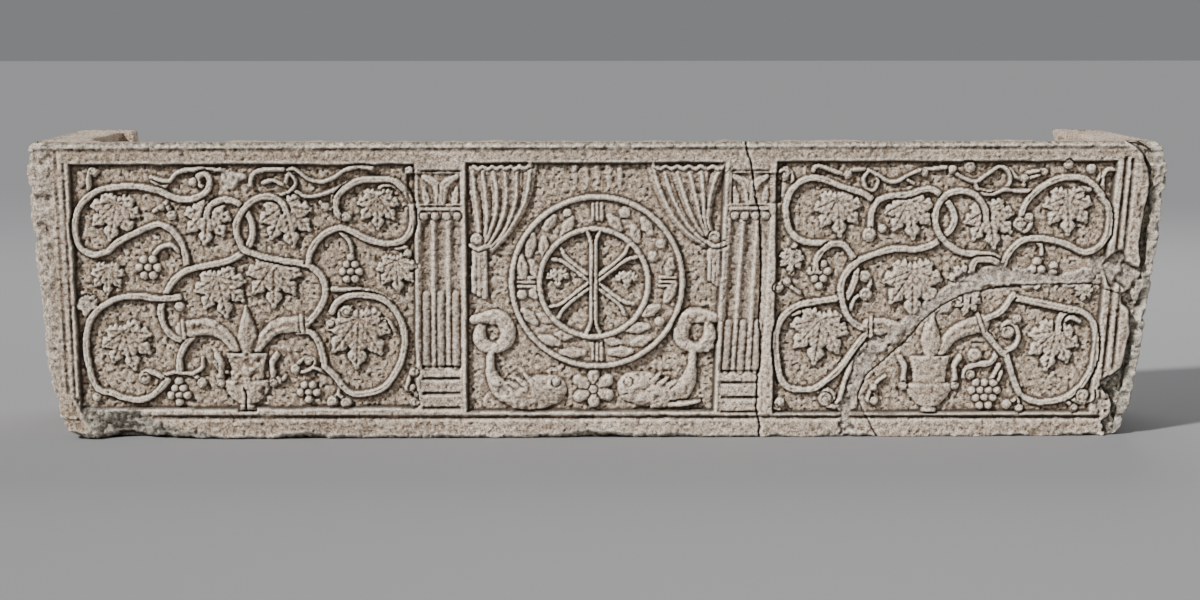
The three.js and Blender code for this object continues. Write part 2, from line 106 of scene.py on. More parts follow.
def value_noise(x, y, z, size, seed):
    """Smooth noise in -1..1 whose lumps are about size across."""
    px, py, pz = x / size, y / size, z / size
    ix, iy, iz = np.floor(px), np.floor(py), np.floor(pz)
    fx, fy, fz = px - ix, py - iy, pz - iz
    ix, iy, iz = ix.astype(np.int64), iy.astype(np.int64), iz.astype(np.int64)
    fx, fy, fz = (f * f * (3 - 2 * f) for f in (fx, fy, fz))
    total = 0
    for dx in (0, 1):
        wx = fx if dx else 1 - fx
        for dy in (0, 1):
            wy = fy if dy else 1 - fy
            for dz in (0, 1):
                wz = fz if dz else 1 - fz
                total = total + wx * wy * wz * lattice(ix + dx, iy + dy, iz + dz, seed)
    return total


def flat_noise(x, y, size, seed):
    """The same noise over a plane."""
    return value_noise(x, y, np.zeros_like(x), size, seed)


def rough_stone(x, y, z):
    """Worn stone surface: broad waves, pecking and grain, in mm along the surface normal."""
    broad = 1.3 * value_noise(x, y, z, 90, 1)
    pecks = 0.8 * value_noise(x, y, z, 13, 2)
    grain = 0.55 * value_noise(x, y, z, 5, 3)
    return broad + pecks + grain


def smooth_step(low, high, value):
    """0 up to low and 1 from high, with a smooth rise between. low may be the larger one."""
    t = np.clip((value - low) / (high - low), 0, 1)
    return t * t * (3 - 2 * t)


# ---- outline of the block ----
def end_reach(table, z):
    """Distance of an end from the middle at height z."""
    heights, reaches = zip(*table)
    return np.interp(z, heights, reaches)


def end_share(x_rim, z):
    """How far the ends stand in at height z, as a share of the greatest half length."""
    return np.where(x_rim < 0, end_reach(LEFT_END, z), end_reach(RIGHT_END, z)) / HALF_LENGTH


def stand(x_rim, y_rim, z):
    """Move a point of the rim's plan down to height z, along the flaring walls."""
    t = (y_rim + HALF_DEPTH) / (2 * HALF_DEPTH)
    lean = FRONT_LEAN * (1 - t) - BACK_LEAN * t
    return x_rim * end_share(x_rim, z), y_rim + lean * (1 - z / HEIGHT)


def resample(points, step):
    """Evenly spaced points along a plan line, with the distance of each from the start."""
    p = np.array(points, float)
    run = np.concatenate([[0], np.cumsum(np.hypot(*np.diff(p, axis=0).T))])
    count = max(2, int(round(run[-1] / step)) + 1)
    s = np.linspace(0, run[-1], count)
    return np.interp(s, run, p[:, 0]), np.interp(s, run, p[:, 1]), s


def outward(x, y):
    """Unit normals of a plan line that turns anticlockwise round the block."""
    dx, dy = np.gradient(x), np.gradient(y)
    length = np.hypot(dx, dy)
    return dy / length, -dx / length


# ---- relief canvas ----
class Relief:
    """Height of the carved front over a grid of (u along the front, v up), in mm.

    Masks go from 0 to 1. carve_front adds ground, the painted ridge highlight, the painted cavity shade and
    patina when the carving is done.
    """

    def __init__(self, s, v):
        s_grid, self.v = np.meshgrid(s, v)
        self.u = s_grid * end_share(s_grid, self.v)
        self.turned = smooth_step(1040, 1066, s_grid)     # 1 on the end beyond the right corner
        self.s0, self.v0 = s[0], v[0]
        self.ds, self.dv = s[1] - s[0], v[1] - v[0]
        self.h = np.zeros_like(self.u)
        self.gap = np.zeros_like(self.u)          # painted shade along channels, grooves and outlines beside the carving, and darker cracks
        self.mortar = np.zeros_like(self.u)       # filled strip beside the join
        self.broken_and_shade = np.zeros_like(self.u)       # old broken faces, and painted shade on the set-back right corner and the right end
        self.pale = np.zeros_like(self.u)         # scraped or chipped, lighter than the skin

    def noise(self, area, size, seed):
        return flat_noise(self.u[area], self.v[area], size, seed)

    def rough(self, size, seed):
        """Noise over the whole face."""
        return self.noise(EVERYWHERE, size, seed)

    def shade(self, area, amount):
        """Paint shade along a line, and never lighten it."""
        self.gap[area] = np.maximum(self.gap[area], amount)

    def window(self, u_low, u_high, v_low, v_high):
        """Rows and columns that cover a patch of the face."""
        s_low = u_low * (WIDEST if u_low < 0 else 1)
        s_high = u_high * (WIDEST if u_high > 0 else 1)
        rows, cols = self.u.shape
        i0 = int(np.clip((v_low - self.v0) / self.dv, 0, rows))
        i1 = int(np.clip((v_high - self.v0) / self.dv + 2, 0, rows))
        j0 = int(np.clip((s_low - self.s0) / self.ds, 0, cols))
        j1 = int(np.clip((s_high - self.s0) / self.ds + 2, 0, cols))
        return slice(i0, i1), slice(j0, j1)

    def nearest(self, path, reach):
        """Distance from each grid point to a path, and how far along it the nearest point is."""
        lo, hi = path.min(axis=0) - reach, path.max(axis=0) + reach
        area = self.window(lo[0], hi[0], lo[1], hi[1])
        best = np.full(self.u[area].shape, 1e9)
        along = np.zeros(best.shape)
        count = len(path)
        for i in range(count - 1):
            a, b = path[i], path[i + 1]
            near = self.window(min(a[0], b[0]) - reach, max(a[0], b[0]) + reach,
                               min(a[1], b[1]) - reach, max(a[1], b[1]) + reach)
            rows = slice(near[0].start - area[0].start, near[0].stop - area[0].start)
            cols = slice(near[1].start - area[1].start, near[1].stop - area[1].start)
            uu, vv = self.u[near], self.v[near]
            ab = b - a
            t = np.clip(((uu - a[0]) * ab[0] + (vv - a[1]) * ab[1]) / (ab @ ab + 1e-9), 0, 1)
            d = np.hypot(uu - a[0] - t * ab[0], vv - a[1] - t * ab[1])
            closer = d < best[rows, cols]
            best[rows, cols] = np.where(closer, d, best[rows, cols])
            along[rows, cols] = np.where(closer, (i + t) / (count - 1), along[rows, cols])
        return area, best, along

    def raise_to(self, area, height, inside):
        """Put a carved form in the relief wherever it is inside its outline."""
        self.h[area] = np.where(inside, np.maximum(self.h[area], height), self.h[area])

    def undercut(self, area, beyond, width, depth):
        """Cut a narrow channel just outside a form, with painted shade in it, where beyond is the distance
        outside it.
        """
        edge = (beyond > 0) & (beyond < width)
        low = GROUND - 1 + (beyond / width) * CHANNEL_RISE + (TOP - GROUND) * (1 - depth)
        self.h[area] = np.where(edge, np.minimum(self.h[area], low), self.h[area])
        self.shade(area, np.where(edge, 0.5 - 0.5 * beyond / width, 0))

    def stroke(self, points, half, top=TOP, round_to=5.0, groove=0.0, moat=3.2, depth=0.7):
        """A rounded band along a path, in a channel moat wide.

        half is half the band's width, as one number or as several from start to end. round_to is how
        far its edges fall, and groove is the depth of the line cut down its middle.
        """
        path = spline(points)
        widths = np.atleast_1d(np.array(half, float))
        area, d, along = self.nearest(path, widths.max() + moat + 1)
        if len(widths) > 1:
            h = np.interp(along, np.linspace(0, 1, len(widths)), widths)
        else:
            h = widths[0]
        d = d + EDGE_WOBBLE * self.noise(area, 15, 9)
        if moat > 0:
            beside = np.where((along > 0) & (along < 1), d - h, -1)      # the ends run into other forms
            self.undercut(area, beside, moat, depth)
        share = np.clip(d / h, 0, 1)
        height = top - round_to * share ** 3
        if groove:
            height = height - groove * np.exp(-((d / (0.28 * h)) ** 2))
        self.raise_to(area, height, d < h)

    def dome(self, centre, radius, top=TOP, drop=8.0, moat=2.5):
        """A round knob, highest in the middle and drop lower at its edge."""
        u, v = centre
        reach = radius + moat
        area = self.window(u - reach, u + reach, v - reach, v + reach)
        d = np.hypot(self.u[area] - u, self.v[area] - v)
        self.undercut(area, d - radius, moat, 0.8)
        share = np.clip(d / radius, 0, 1)
        self.raise_to(area, top - drop * (1 - np.sqrt(1 - share ** 2 * 0.96)), d < radius)

    def ring(self, centre, radius, half):
        """A plain raised ring."""
        d = np.abs(np.hypot(self.u - centre[0], self.v - centre[1]) - radius)
        self.undercut(EVERYWHERE, d - half, 3.0, 0.6)
        self.raise_to(EVERYWHERE, TOP - 4 * np.clip(d / half, 0, 1) ** 3, d < half)


def direction(degrees):
    """Unit vector at an angle from the length, anticlockwise."""
    return np.array([math.cos(math.radians(degrees)), math.sin(math.radians(degrees))])


def crosswise(vector):
    """The vector turned a quarter, anticlockwise."""
    return np.array([-vector[1], vector[0]])


def spline(points, step=5.0):
    """Smooth path through the given points, with a point every step."""
    p = np.array(points, float)
    if len(p) == 2:
        return p
    q = np.vstack([2 * p[0] - p[1], p, 2 * p[-1] - p[-2]])
    out = []
    for i in range(len(p) - 1):
        a, b, c, d = q[i:i + 4]
        count = max(2, int(np.hypot(*(c - b)) / step))
        for t in np.arange(count) / count:
            cubic = 2 * b + (c - a) * t + (2 * a - 5 * b + 4 * c - d) * t ** 2
            out.append(0.5 * (cubic + (d - a + 3 * (b - c)) * t ** 3))
    out.append(p[-1])
    return np.array(out)


# ---- vines ----
# half width of the stem, then its path
VINES_LEFT = [
    (5.7, [(-912, 354), (-935, 348), (-957, 356), (-968, 375), (-971, 406), (-959, 441), (-933, 464),
         (-906, 472), (-875, 475), (-845, 473), (-814, 466), (-791, 455), (-764, 450), (-737, 458),
         (-723, 473), (-722, 489), (-730, 498), (-742, 494)]),
    (5.7, [(-912, 354), (-887, 375), (-829, 402), (-808, 402), (-789, 389), (-775, 368), (-769, 345),
         (-767, 325)]),
    (3.9, [(-827, 349), (-814, 362), (-795, 366), (-781, 354)]),
    (3.9, [(-829, 492), (-814, 487), (-795, 485), (-781, 500), (-756, 506), (-714, 507)]),
    (4.4, [(-943, 468), (-943, 491), (-937, 506), (-927, 502)]),
    (5.7, [(-729, 416), (-726, 431), (-716, 443), (-697, 450), (-675, 446), (-660, 433), (-647, 412),
         (-644, 391), (-649, 370), (-660, 354), (-675, 344), (-698, 334), (-760, 321), (-783, 308),
         (-798, 291), (-814, 260), (-817, 233), (-808, 208), (-791, 191), (-773, 189)]),
    (5.7, [(-581, 425), (-588, 443), (-608, 455), (-631, 454), (-650, 443), (-662, 429), (-672, 412),
         (-675, 393), (-669, 372), (-657, 354), (-604, 339), (-552, 330), (-535, 323), (-521, 310),
         (-512, 289), (-514, 266), (-527, 241), (-546, 220), (-565, 212)]),
    (4.4, [(-615, 291), (-614, 310), (-602, 327), (-577, 333)]),
    (5.7, [(-808, 112), (-825, 93), (-845, 79), (-868, 75), (-895, 81), (-914, 89), (-933, 93),
         (-945, 110), (-954, 145), (-957, 183), (-950, 222), (-933, 245), (-914, 258), (-895, 267),
         (-860, 271), (-822, 266), (-783, 268)]),
    (4.4, [(-808, 112), (-829, 125), (-845, 129), (-856, 122), (-850, 112)]),
    (5.8, [(-785, 129), (-784, 156), (-772, 181), (-752, 202)]),
    (5.8, [(-565, 204), (-542, 202), (-527, 185), (-519, 160), (-516, 137)]),
    (5.7, [(-542, 329), (-540, 348), (-527, 372), (-508, 388), (-485, 397), (-462, 391), (-431, 375),
         (-400, 368), (-373, 371), (-356, 385), (-349, 410), (-352, 445), (-365, 470), (-385, 485),
         (-412, 487), (-446, 485), (-469, 473), (-485, 458), (-490, 441), (-487, 423), (-473, 415),
         (-465, 422)]),
    (3.9, [(-485, 391), (-467, 373), (-461, 352), (-462, 333)]),
    (3.5, [(-581, 483), (-579, 498), (-569, 508), (-538, 487), (-515, 483), (-492, 491), (-473, 504),
         (-450, 510), (-423, 508)]),
    (3.5, [(-567, 468), (-546, 456), (-519, 458), (-492, 468), (-469, 481)]),
    (3.5, [(-581, 483), (-575, 498), (-563, 483), (-571, 468), (-588, 460), (-612, 459)]),
    (3.9, [(-646, 477), (-644, 493), (-629, 504), (-588, 506)]),
    (5.7, [(-500, 241), (-492, 256), (-469, 270), (-438, 271), (-408, 264), (-385, 245), (-369, 214),
         (-366, 183), (-371, 152), (-385, 122), (-404, 98), (-431, 87), (-462, 85), (-481, 98),
         (-496, 118), (-515, 137)]),
    (3.5, [(-512, 283), (-446, 281), (-415, 275), (-392, 262)]),
    (3.5, [(-431, 212), (-415, 225), (-396, 223), (-385, 206)]),
    (3.5, [(-415, 454), (-408, 472), (-388, 477), (-369, 466)]),
]
VINES_RIGHT = [
    (5.7, [(504, 448), (488, 459), (450, 471), (412, 486), (390, 488), (369, 481), (354, 466),
         (345, 445), (344, 420), (350, 395), (365, 376), (388, 368), (433, 367)]),
    (4.4, [(356, 310), (355, 337), (358, 358), (375, 372), (404, 365)]),
    (5.7, [(401, 314), (401, 333), (412, 352), (431, 365), (452, 363), (465, 348), (474, 329),
         (476, 306), (469, 283), (460, 264)]),
    (5.7, [(502, 391), (502, 418), (510, 439), (527, 452), (573, 458), (594, 465), (617, 466),
         (637, 450), (652, 433), (658, 412), (652, 393), (635, 375), (615, 362), (587, 354), (562, 356),
         (538, 354), (508, 345), (481, 333), (460, 314), (449, 291), (450, 264), (460, 233), (479, 212),
         (504, 204), (527, 208)]),
    (5.7, [(718, 406), (714, 433), (698, 454), (675, 463), (652, 461), (636, 450), (626, 433),
         (622, 412), (627, 391), (636, 375), (652, 360), (675, 348), (729, 343), (750, 329)]),
    (5.7, [(683, 252), (695, 325), (710, 335), (733, 333), (748, 322)]),
    (5.7, [(750, 314), (756, 337), (768, 356), (787, 371), (812, 375), (841, 371), (872, 362),
         (895, 350), (914, 350), (933, 362), (945, 383), (948, 410), (944, 437), (929, 454)]),
    (3.9, [(812, 372), (822, 360), (823, 345)]),
    (5.7, [(782, 398), (784, 425), (795, 447), (814, 466), (837, 481), (864, 489), (891, 488),
         (914, 477), (934, 454)]),
    (3.9, [(871, 433), (875, 454), (891, 467), (910, 466)]),
    (4.4, [(782, 422), (779, 398), (789, 389), (800, 398), (802, 412)]),
    (3.5, [(695, 481), (700, 468), (720, 463), (743, 465), (757, 475), (761, 487), (755, 502),
         (743, 509), (733, 506), (704, 485)]),
    (3.5, [(394, 502), (402, 511), (452, 495), (467, 503), (488, 505)]),
    (3.5, [(496, 502), (487, 487), (491, 471), (502, 464), (512, 473), (513, 491), (504, 499), (496, 502)]),
    (3.5, [(513, 495), (531, 483), (550, 482), (569, 493), (592, 502), (640, 508)]),
    (3.5, [(702, 459), (727, 457), (750, 466), (775, 463), (806, 464)]),
    (3.9, [(791, 491), (795, 498), (822, 502)]),
    (3.5, [(935, 448), (934, 491), (944, 504), (956, 502)]),
    (5.7, [(438, 262), (377, 252), (354, 241), (337, 222), (329, 198), (328, 172), (331, 141),
         (337, 114), (350, 95), (373, 90), (398, 91), (419, 104), (446, 127), (485, 181), (504, 197),
         (531, 198)]),
    (4.4, [(440, 56), (450, 75), (458, 106), (469, 133), (485, 156), (494, 175)]),
    (4.4, [(440, 56), (419, 64), (415, 79), (427, 89), (438, 81)]),
    (3.9, [(402, 222), (392, 233), (377, 238), (358, 233)]),
    (5.2, [(704, 203), (727, 197), (740, 179), (742, 156), (731, 139), (708, 137), (688, 129), (683, 114)]),
    (4.4, [(758, 191), (754, 208), (766, 217), (778, 208), (784, 189), (776, 171), (759, 162)]),
    (5.7, [(761, 156), (779, 102), (793, 77), (818, 65), (852, 66), (879, 75), (902, 93), (920, 122),
         (928, 152), (929, 191), (922, 218), (906, 233), (887, 240), (870, 235), (859, 220), (858, 198)]),
    (6.1, [(779, 262), (883, 240)]),
    (3.9, [(862, 206), (870, 220), (883, 225), (898, 218)]),
    (4.4, [(881, 75), (906, 64), (925, 72), (925, 87)]),
    (5.7, [(718, 222), (748, 236), (772, 268)]),
    (5.7, [(714, 204), (735, 180), (752, 160), (761, 156)]),
    (4.2, [(748, 135), (735, 110)]),
]
THICK_STEM = 5.0            # half width from which a stem lies over the leaves
# fine tendrils between the stems
TENDRILS = [
    [(-801, 457), (-800, 438), (-791, 422)], [(-825, 429), (-811, 438), (-801, 446)],
    [(-828, 486), (-807, 473), (-782, 498), (-751, 504), (-735, 501)],
    [(-736, 501), (-720, 493), (-724, 475), (-740, 476), (-741, 491), (-732, 501)],
    [(-727, 500), (-703, 506), (-690, 501)],
    [(-649, 477), (-639, 494), (-618, 504), (-585, 505), (-567, 499)],
    [(-623, 481), (-606, 486), (-589, 478)], [(-494, 468), (-495, 445), (-484, 427), (-467, 419)],
    [(-519, 445), (-507, 434), (-492, 433)], [(-852, 111), (-844, 126), (-819, 122), (-791, 128)],
    [(-791, 127), (-761, 123), (-744, 109)], [(-761, 124), (-743, 136), (-742, 153)],
    [(-720, 145), (-709, 130), (-687, 124)], [(-613, 115), (-598, 109), (-589, 119)],
    [(-570, 138), (-550, 154), (-534, 148), (-537, 136), (-555, 127), (-571, 131)],
    [(-537, 136), (-516, 127)], [(-487, 103), (-491, 84), (-503, 70)], [(-491, 85), (-474, 70)],
    [(-380, 360), (-361, 360), (-357, 347)], [(-367, 99), (-346, 85), (-349, 68)],
    [(-345, 137), (-355, 125), (-364, 93)], [(-961, 277), (-948, 273), (-946, 255), (-957, 236)],
    [(356, 470), (353, 496), (341, 507), (331, 500)], [(458, 491), (456, 500), (475, 506), (493, 503)],
    [(488, 304), (503, 296), (497, 271)], [(497, 275), (475, 263), (467, 242)],
    [(329, 282), (339, 296), (352, 287), (371, 273)], [(411, 83), (430, 87), (438, 73), (427, 63)],
    [(329, 69), (327, 56), (336, 54)], [(753, 122), (747, 105), (738, 95)],
    [(790, 96), (786, 75), (769, 62)], [(786, 75), (790, 54)], [(857, 71), (878, 66), (892, 51)],
    [(580, 478), (567, 488), (580, 498), (601, 496)],
    [(653, 503), (667, 491), (696, 480), (710, 492), (733, 501)], [(685, 507), (677, 515), (691, 515)],
    [(743, 509), (759, 504), (771, 490), (788, 486), (825, 498)], [(787, 486), (786, 474)],
    [(513, 93), (521, 106), (534, 115)], [(931, 495), (924, 482), (923, 462)],
    [(508, 64), (501, 72), (509, 91)],
]
# where the stalk meets the leaf, length of the middle lobe, its direction in degrees
LEAVES = [
    ((-893, 446), 76, 258), ((-725, 434), 72, 263), ((-913, 323), 52, 268), ((-886, 205), 78, 284),
    ((-710, 306), 80, 281), ((-587, 438), 82, 283), ((-606, 330), 84, 269), ((-412, 456), 64, 269),
    ((-451, 228), 98, 267), ((-380, 336), 62, 274), ((439, 450), 74, 275), ((571, 446), 76, 279),
    ((720, 430), 78, 281), ((869, 454), 76, 272), ((582, 316), 92, 271), ((357, 348), 40, 262),
    ((412, 224), 90, 262), ((854, 200), 80, 257), ((690, 268), 40, 255), ((686, 306), 48, 222),
    ((906, 284), 30, 262), ((-948, 268), 26, 262),
]
# lobe: turn from the middle lobe, reach, width
LEAF_LOBES = ((1.85, 0.44, 0.15), (-1.85, 0.44, 0.15), (1.2, 0.66, 0.19), (-1.2, 0.66, 0.19),
              (0.6, 0.84, 0.19), (-0.6, 0.84, 0.19), (0.0, 1.0, 0.20))
# centre of a bunch, grapes in each row from the top, size of a grape
BUNCHES = [
    ((-838, 324), (2, 3, 2), 8.2), ((-464, 322), (1, 2, 3, 2), 7.6), ((-787, 90), (1, 2, 3, 1), 7.6),
    ((-546, 88), (2, 3, 1), 7.6), ((407, 307), (2, 3, 2, 1), 7.8), ((815, 309), (1, 2, 3, 1), 8.4),
    ((722, 80), (3, 4, 3, 2), 8.0), ((846, 316), (1, 1), 8),
]
# scrolled ends and rosettes: centre, radius
CURLS = [
    ((-793, 421), 9), ((-811, 435), 6), ((-782, 251), 9), ((-850, 116), 11), ((-744, 107), 9),
    ((-604, 110), 8), ((-570, 132), 9), ((-545, 147), 8), ((-502, 70), 10), ((-476, 68), 10),
    ((-940, 81), 8), ((-349, 68), 9), ((-352, 96), 7), ((-349, 125), 9), ((-471, 417), 9),
    ((-510, 436), 8), ((-354, 503), 8), ((-358, 349), 8), ((-473, 241), 11), ((-504, 217), 8),
    ((-932, 500), 7), ((-752, 482), 8), ((-711, 142), 8), ((-711, 116), 7), ((500, 382), 13),
    ((524, 394), 8), ((781, 402), 12), ((797, 414), 9), ((493, 304), 11), ((495, 270), 12),
    ((339, 495), 12), ((422, 72), 13), ((452, 56), 8), ((336, 65), 10), ((514, 68), 8), ((513, 93), 7),
    ((764, 198), 12), ((780, 222), 9), ((702, 154), 13), ((695, 117), 9), ((789, 52), 8), ((765, 60), 9),
    ((908, 76), 13), ((892, 52), 8), ((652, 504), 8), ((685, 508), 10), ((458, 494), 8), ((601, 497), 7),
    ((869, 513), 9), ((912, 505), 9), ((824, 499), 7), ((787, 487), 8), ((331, 284), 10),
    ((347, 294), 8),
]


def leaf_lobe(along, side, length, lobe_width):
    """How far inside one lobe each point is, and the height of the lobe there below its top."""
    share = np.clip(along, 0, 1)
    teeth = 0.58 + 0.60 * np.abs(np.sin(share * 3.3 * math.pi))
    half = length * lobe_width * np.sin(math.pi * share ** 0.8) ** 0.55 * teeth
    beside = np.abs(side)
    within = np.where((along > 0) & (along < 1), half - beside, -length * np.abs(along - share) - beside)
    swell = 4.2 * (beside / np.maximum(half, 1)) ** 3 + 2.6 * share ** 4
    vein = 3.4 * np.exp(-(side / 1.8) ** 2)
    return within, share, swell + vein


def carve_leaf(relief, base, length, degrees, lobes=LEAF_LOBES, top=-2.5):
    """A vine leaf: toothed lobes spread from the stalk, each with a vein cut down its middle."""
    around = length * 1.1
    area = relief.window(base[0] - around, base[0] + around, base[1] - around, base[1] + around)
    du, dv = relief.u[area] - base[0], relief.v[area] - base[1]
    inside = np.full(du.shape, -99.0)
    height = np.full(du.shape, -99.0)
    for turn, reach, width in lobes:
        a = math.radians(degrees) + turn
        along = (du * math.cos(a) + dv * math.sin(a)) / (reach * length)
        side = dv * math.cos(a) - du * math.sin(a)
        within, share, fall = leaf_lobe(along, side, length, width)
        ribs = 0.9 * np.sin((share * reach * length - 1.1 * np.abs(side)) / 1.9)
        height = np.where(within > np.maximum(inside, 0), top + ribs - fall, height)
        inside = np.maximum(inside, within)
    relief.undercut(area, -inside, 3.8, 0.9)
    # painted shadow line round the leaf's outline
    relief.shade(area, np.where((inside < 0) & (inside > -3.5), 0.45, 0))
    relief.raise_to(area, height, inside > 0)


def carve_bunch(relief, centre, rows, radius):
    """Grapes packed in rows, from the top one down."""
    for i, count in enumerate(rows):
        v = centre[1] + radius * 1.75 * ((len(rows) - 1) / 2 - i)
        for k in range(count):
            u = centre[0] + radius * 1.95 * (k - (count - 1) / 2)
            relief.dome((u, v), radius, top=-2.0, drop=9)


def carve_curl(relief, centre, radius):
    """The rolled end of a tendril: a knob with a groove that winds in to its eye."""
    relief.dome(centre, radius, top=-2.0, drop=7)
    area = relief.window(centre[0] - radius, centre[0] + radius, centre[1] - radius, centre[1] + radius)
    du, dv = relief.u[area] - centre[0], relief.v[area] - centre[1]
    turn = np.arctan2(dv, du) / (2 * math.pi) % 1
    off_groove = np.hypot(du, dv) - (0.3 + 0.55 * turn) * radius
    relief.h[area] -= 4.5 * np.exp(-((off_groove / 1.6) ** 2))


def carve_vines(relief):
    """Tendrils and thin stems lie under the leaves and bunches, and thick stems over them."""
    for path in TENDRILS:
        relief.stroke(path, 3.4, top=-2.5, round_to=5, depth=0.9, moat=2.8)
    for half, path in VINES_LEFT + VINES_RIGHT:
        if half < THICK_STEM:
            relief.stroke(path, half, top=-2.0, round_to=6, depth=0.9, moat=3.0)
    for base, length, degrees in LEAVES:
        carve_leaf(relief, base, length, degrees)
    for centre, rows, radius in BUNCHES:
        carve_bunch(relief, centre, rows, radius)
    for half, path in VINES_LEFT + VINES_RIGHT:
        if half >= THICK_STEM:
            relief.stroke(path, half, groove=3.6, round_to=6, depth=1.0, moat=4.0)
    for centre, radius in CURLS:
        carve_curl(relief, centre, radius)


# ---- vases ----
# sheaths that the stems grow from: half widths, path
SHEATHS = [
    ((9, 12, 16, 15), [(-680, 172), (-700, 196), (-730, 212), (-776, 208)]),
    ((9, 12, 15, 15), [(-640, 172), (-620, 200), (-596, 214), (-556, 218)]),
    ((9, 12, 15, 17), [(634, 156), (654, 186), (676, 202), (712, 214)]),
    ((4, 12, 17, 17), [(572, 208), (548, 207), (524, 208), (506, 208)]),
]
# outline of a vase: height above its foot, half width
VASE_FORM = [(0, 14), (9, 14), (11, 12), (14, 20), (30, 36), (48, 45), (53, 45), (56, 30), (80, 31),
             (106, 38)]


def carve_sheaths(relief):
    """Grooved sheaths, each closed by a collar where its stem comes out."""
    for widths, path in SHEATHS:
        relief.stroke(path, widths, top=-2.5, groove=2.5, round_to=6, moat=3.5)
        end = np.array(path[-1], float)
        along = end - np.array(path[-2], float)
        side = crosswise(along) / np.hypot(*along) * (widths[-1] + 1)
        relief.stroke([end - side, end + side], 3.5, top=-0.5, round_to=3, moat=2)


def carve_vase(relief, u, foot):
    """A footed vase with a lip, two handles and a bud that stands in it."""
    heights, halves = zip(*VASE_FORM)
    area = relief.window(u - 60, u + 60, foot - 6, foot + 112)
    uu, vv = relief.u[area] - u, relief.v[area] - foot
    half = np.interp(vv, heights, halves)
    beyond = np.maximum(np.abs(uu) - half, np.maximum(-vv, vv - heights[-1]))
    relief.undercut(area, beyond, 4, 0.9)
    height = TOP - 7 * (np.abs(uu) / np.maximum(half, 1)) ** 3
    for waist in (10, 56):
        height = height - 2.2 * np.exp(-(((vv - waist) / 2.0) ** 2))
    relief.raise_to(area, height, beyond <= 0)
    relief.stroke([(u, foot + 108), (u + 2, foot + 134), (u + 1, foot + 172), (u, foot + 196)],
                  (10, 19, 12, 2), top=-2, round_to=8)
    for side in (-1, 1):
        handle = [(u + side * 46, foot + 48), (u + side * 49, foot + 66), (u + side * 47, foot + 88),
                  (u + side * 56, foot + 104)]
        relief.stroke(handle, (5.5, 4.5, 6), round_to=5, moat=3)
        carve_curl(relief, (u + side * 49, foot + 50), 8)


# ---- centre panel ----
# centre and radius of each ring
RING = (-7.0, 295.0, 159.0)
INNER_RING = (-13.0, 293.0, 101.0)
RING_HALF = 4.8
# distance of each row of the garland from the centre, and its number of leaves
GARLAND_ROWS = ((116, 15), (140, 18))
TIE_TURN = 0.1              # half the angle that a tie of the garland takes up


def carve_garland(relief):
    """Leaves and fruit in two rows between the rings, bound by four ties."""
    u0, v0, outer = RING
    r = np.hypot(relief.u - u0, relief.v - v0)
    inner = np.hypot(relief.u - INNER_RING[0], relief.v - INNER_RING[1])
    band = (r < outer) & (inner > INNER_RING[2])
    relief.h = np.where(band, np.maximum(relief.h, -12.0), relief.h)
    carve_garland_leaves(relief)
    for degrees in (0, 90, 180, 270):
        carve_tie(relief, degrees)


def carve_garland_leaves(relief):
    """Each leaf leans away from the ring, and one in five is a round fruit."""
    rng = np.random.default_rng(11)
    for row, (radius, count) in enumerate(GARLAND_ROWS):
        for i in range(count):
            angle = 2 * math.pi * (i + 0.5 * row + rng.uniform(-0.15, 0.15)) / count
            quarters = [(angle - q * math.pi / 2 + math.pi) % (2 * math.pi) - math.pi for q in range(4)]
            if min(abs(turn) for turn in quarters) < TIE_TURN:
                continue
            side = 1 if math.cos(angle) >= 0 else -1
            tilt = angle + side * (math.pi / 2) * (0.6 + 0.2 * row)
            centre = np.array(RING[:2]) + (radius * math.cos(angle) - 2, radius * math.sin(angle))
            size = rng.uniform(13, 20)
            high = rng.uniform(-4.5, -2.0)
            if rng.uniform() < 0.2:
                relief.dome(centre, 0.6 * size, top=high, drop=5, moat=2)
                continue
            half = direction(math.degrees(tilt)) * size
            relief.stroke([centre - half, centre, centre + half], (7, 12, 6), top=high, round_to=7,
                          groove=1.6, moat=3.2, depth=0.9)


def carve_tie(relief, degrees):
    """Three strips side by side across the garland."""
    out = direction(degrees)
    for shift in (-8, 0, 8):
        start = np.array(RING[:2]) + crosswise(out) * shift
        relief.stroke([start + out * 117, start + out * 146], 3.0, top=-5, round_to=3, moat=1.6, depth=0.5)


# arms of the star: direction, reach, how much lower than the others it is carved
STAR_HUB = np.array([-14.0, 295.0])
STAR_ARMS = [(142, 86, 3.0), (322, 84, 3.0), (38, 92, 0.0), (218, 92, 0.0), (90, 96, 0.0), (270, 96, 0.0)]
TREFOIL = ((1.0, 0.8, 0.24), (-1.0, 0.8, 0.24), (0.0, 1.0, 0.24))


def carve_star(relief):
    """Six double-lined arms with flared ends inside the inner ring, and a small leaf either side."""
    for degrees, reach, sunk in STAR_ARMS:
        along = direction(degrees)
        for way in (-1, 1):
            offset = crosswise(along) * 4.4 * way
            path = [STAR_HUB + offset, STAR_HUB + along * reach * 0.74 + offset,
                    STAR_HUB + along * reach + offset * 2.9]
            relief.stroke(path, 3.4, top=-2.5 - sunk, round_to=3, moat=2.6, depth=0.75)
    for base in ((-80, 316), (48, 312)):
        carve_leaf(relief, base, 32, 270, TREFOIL, top=-4)


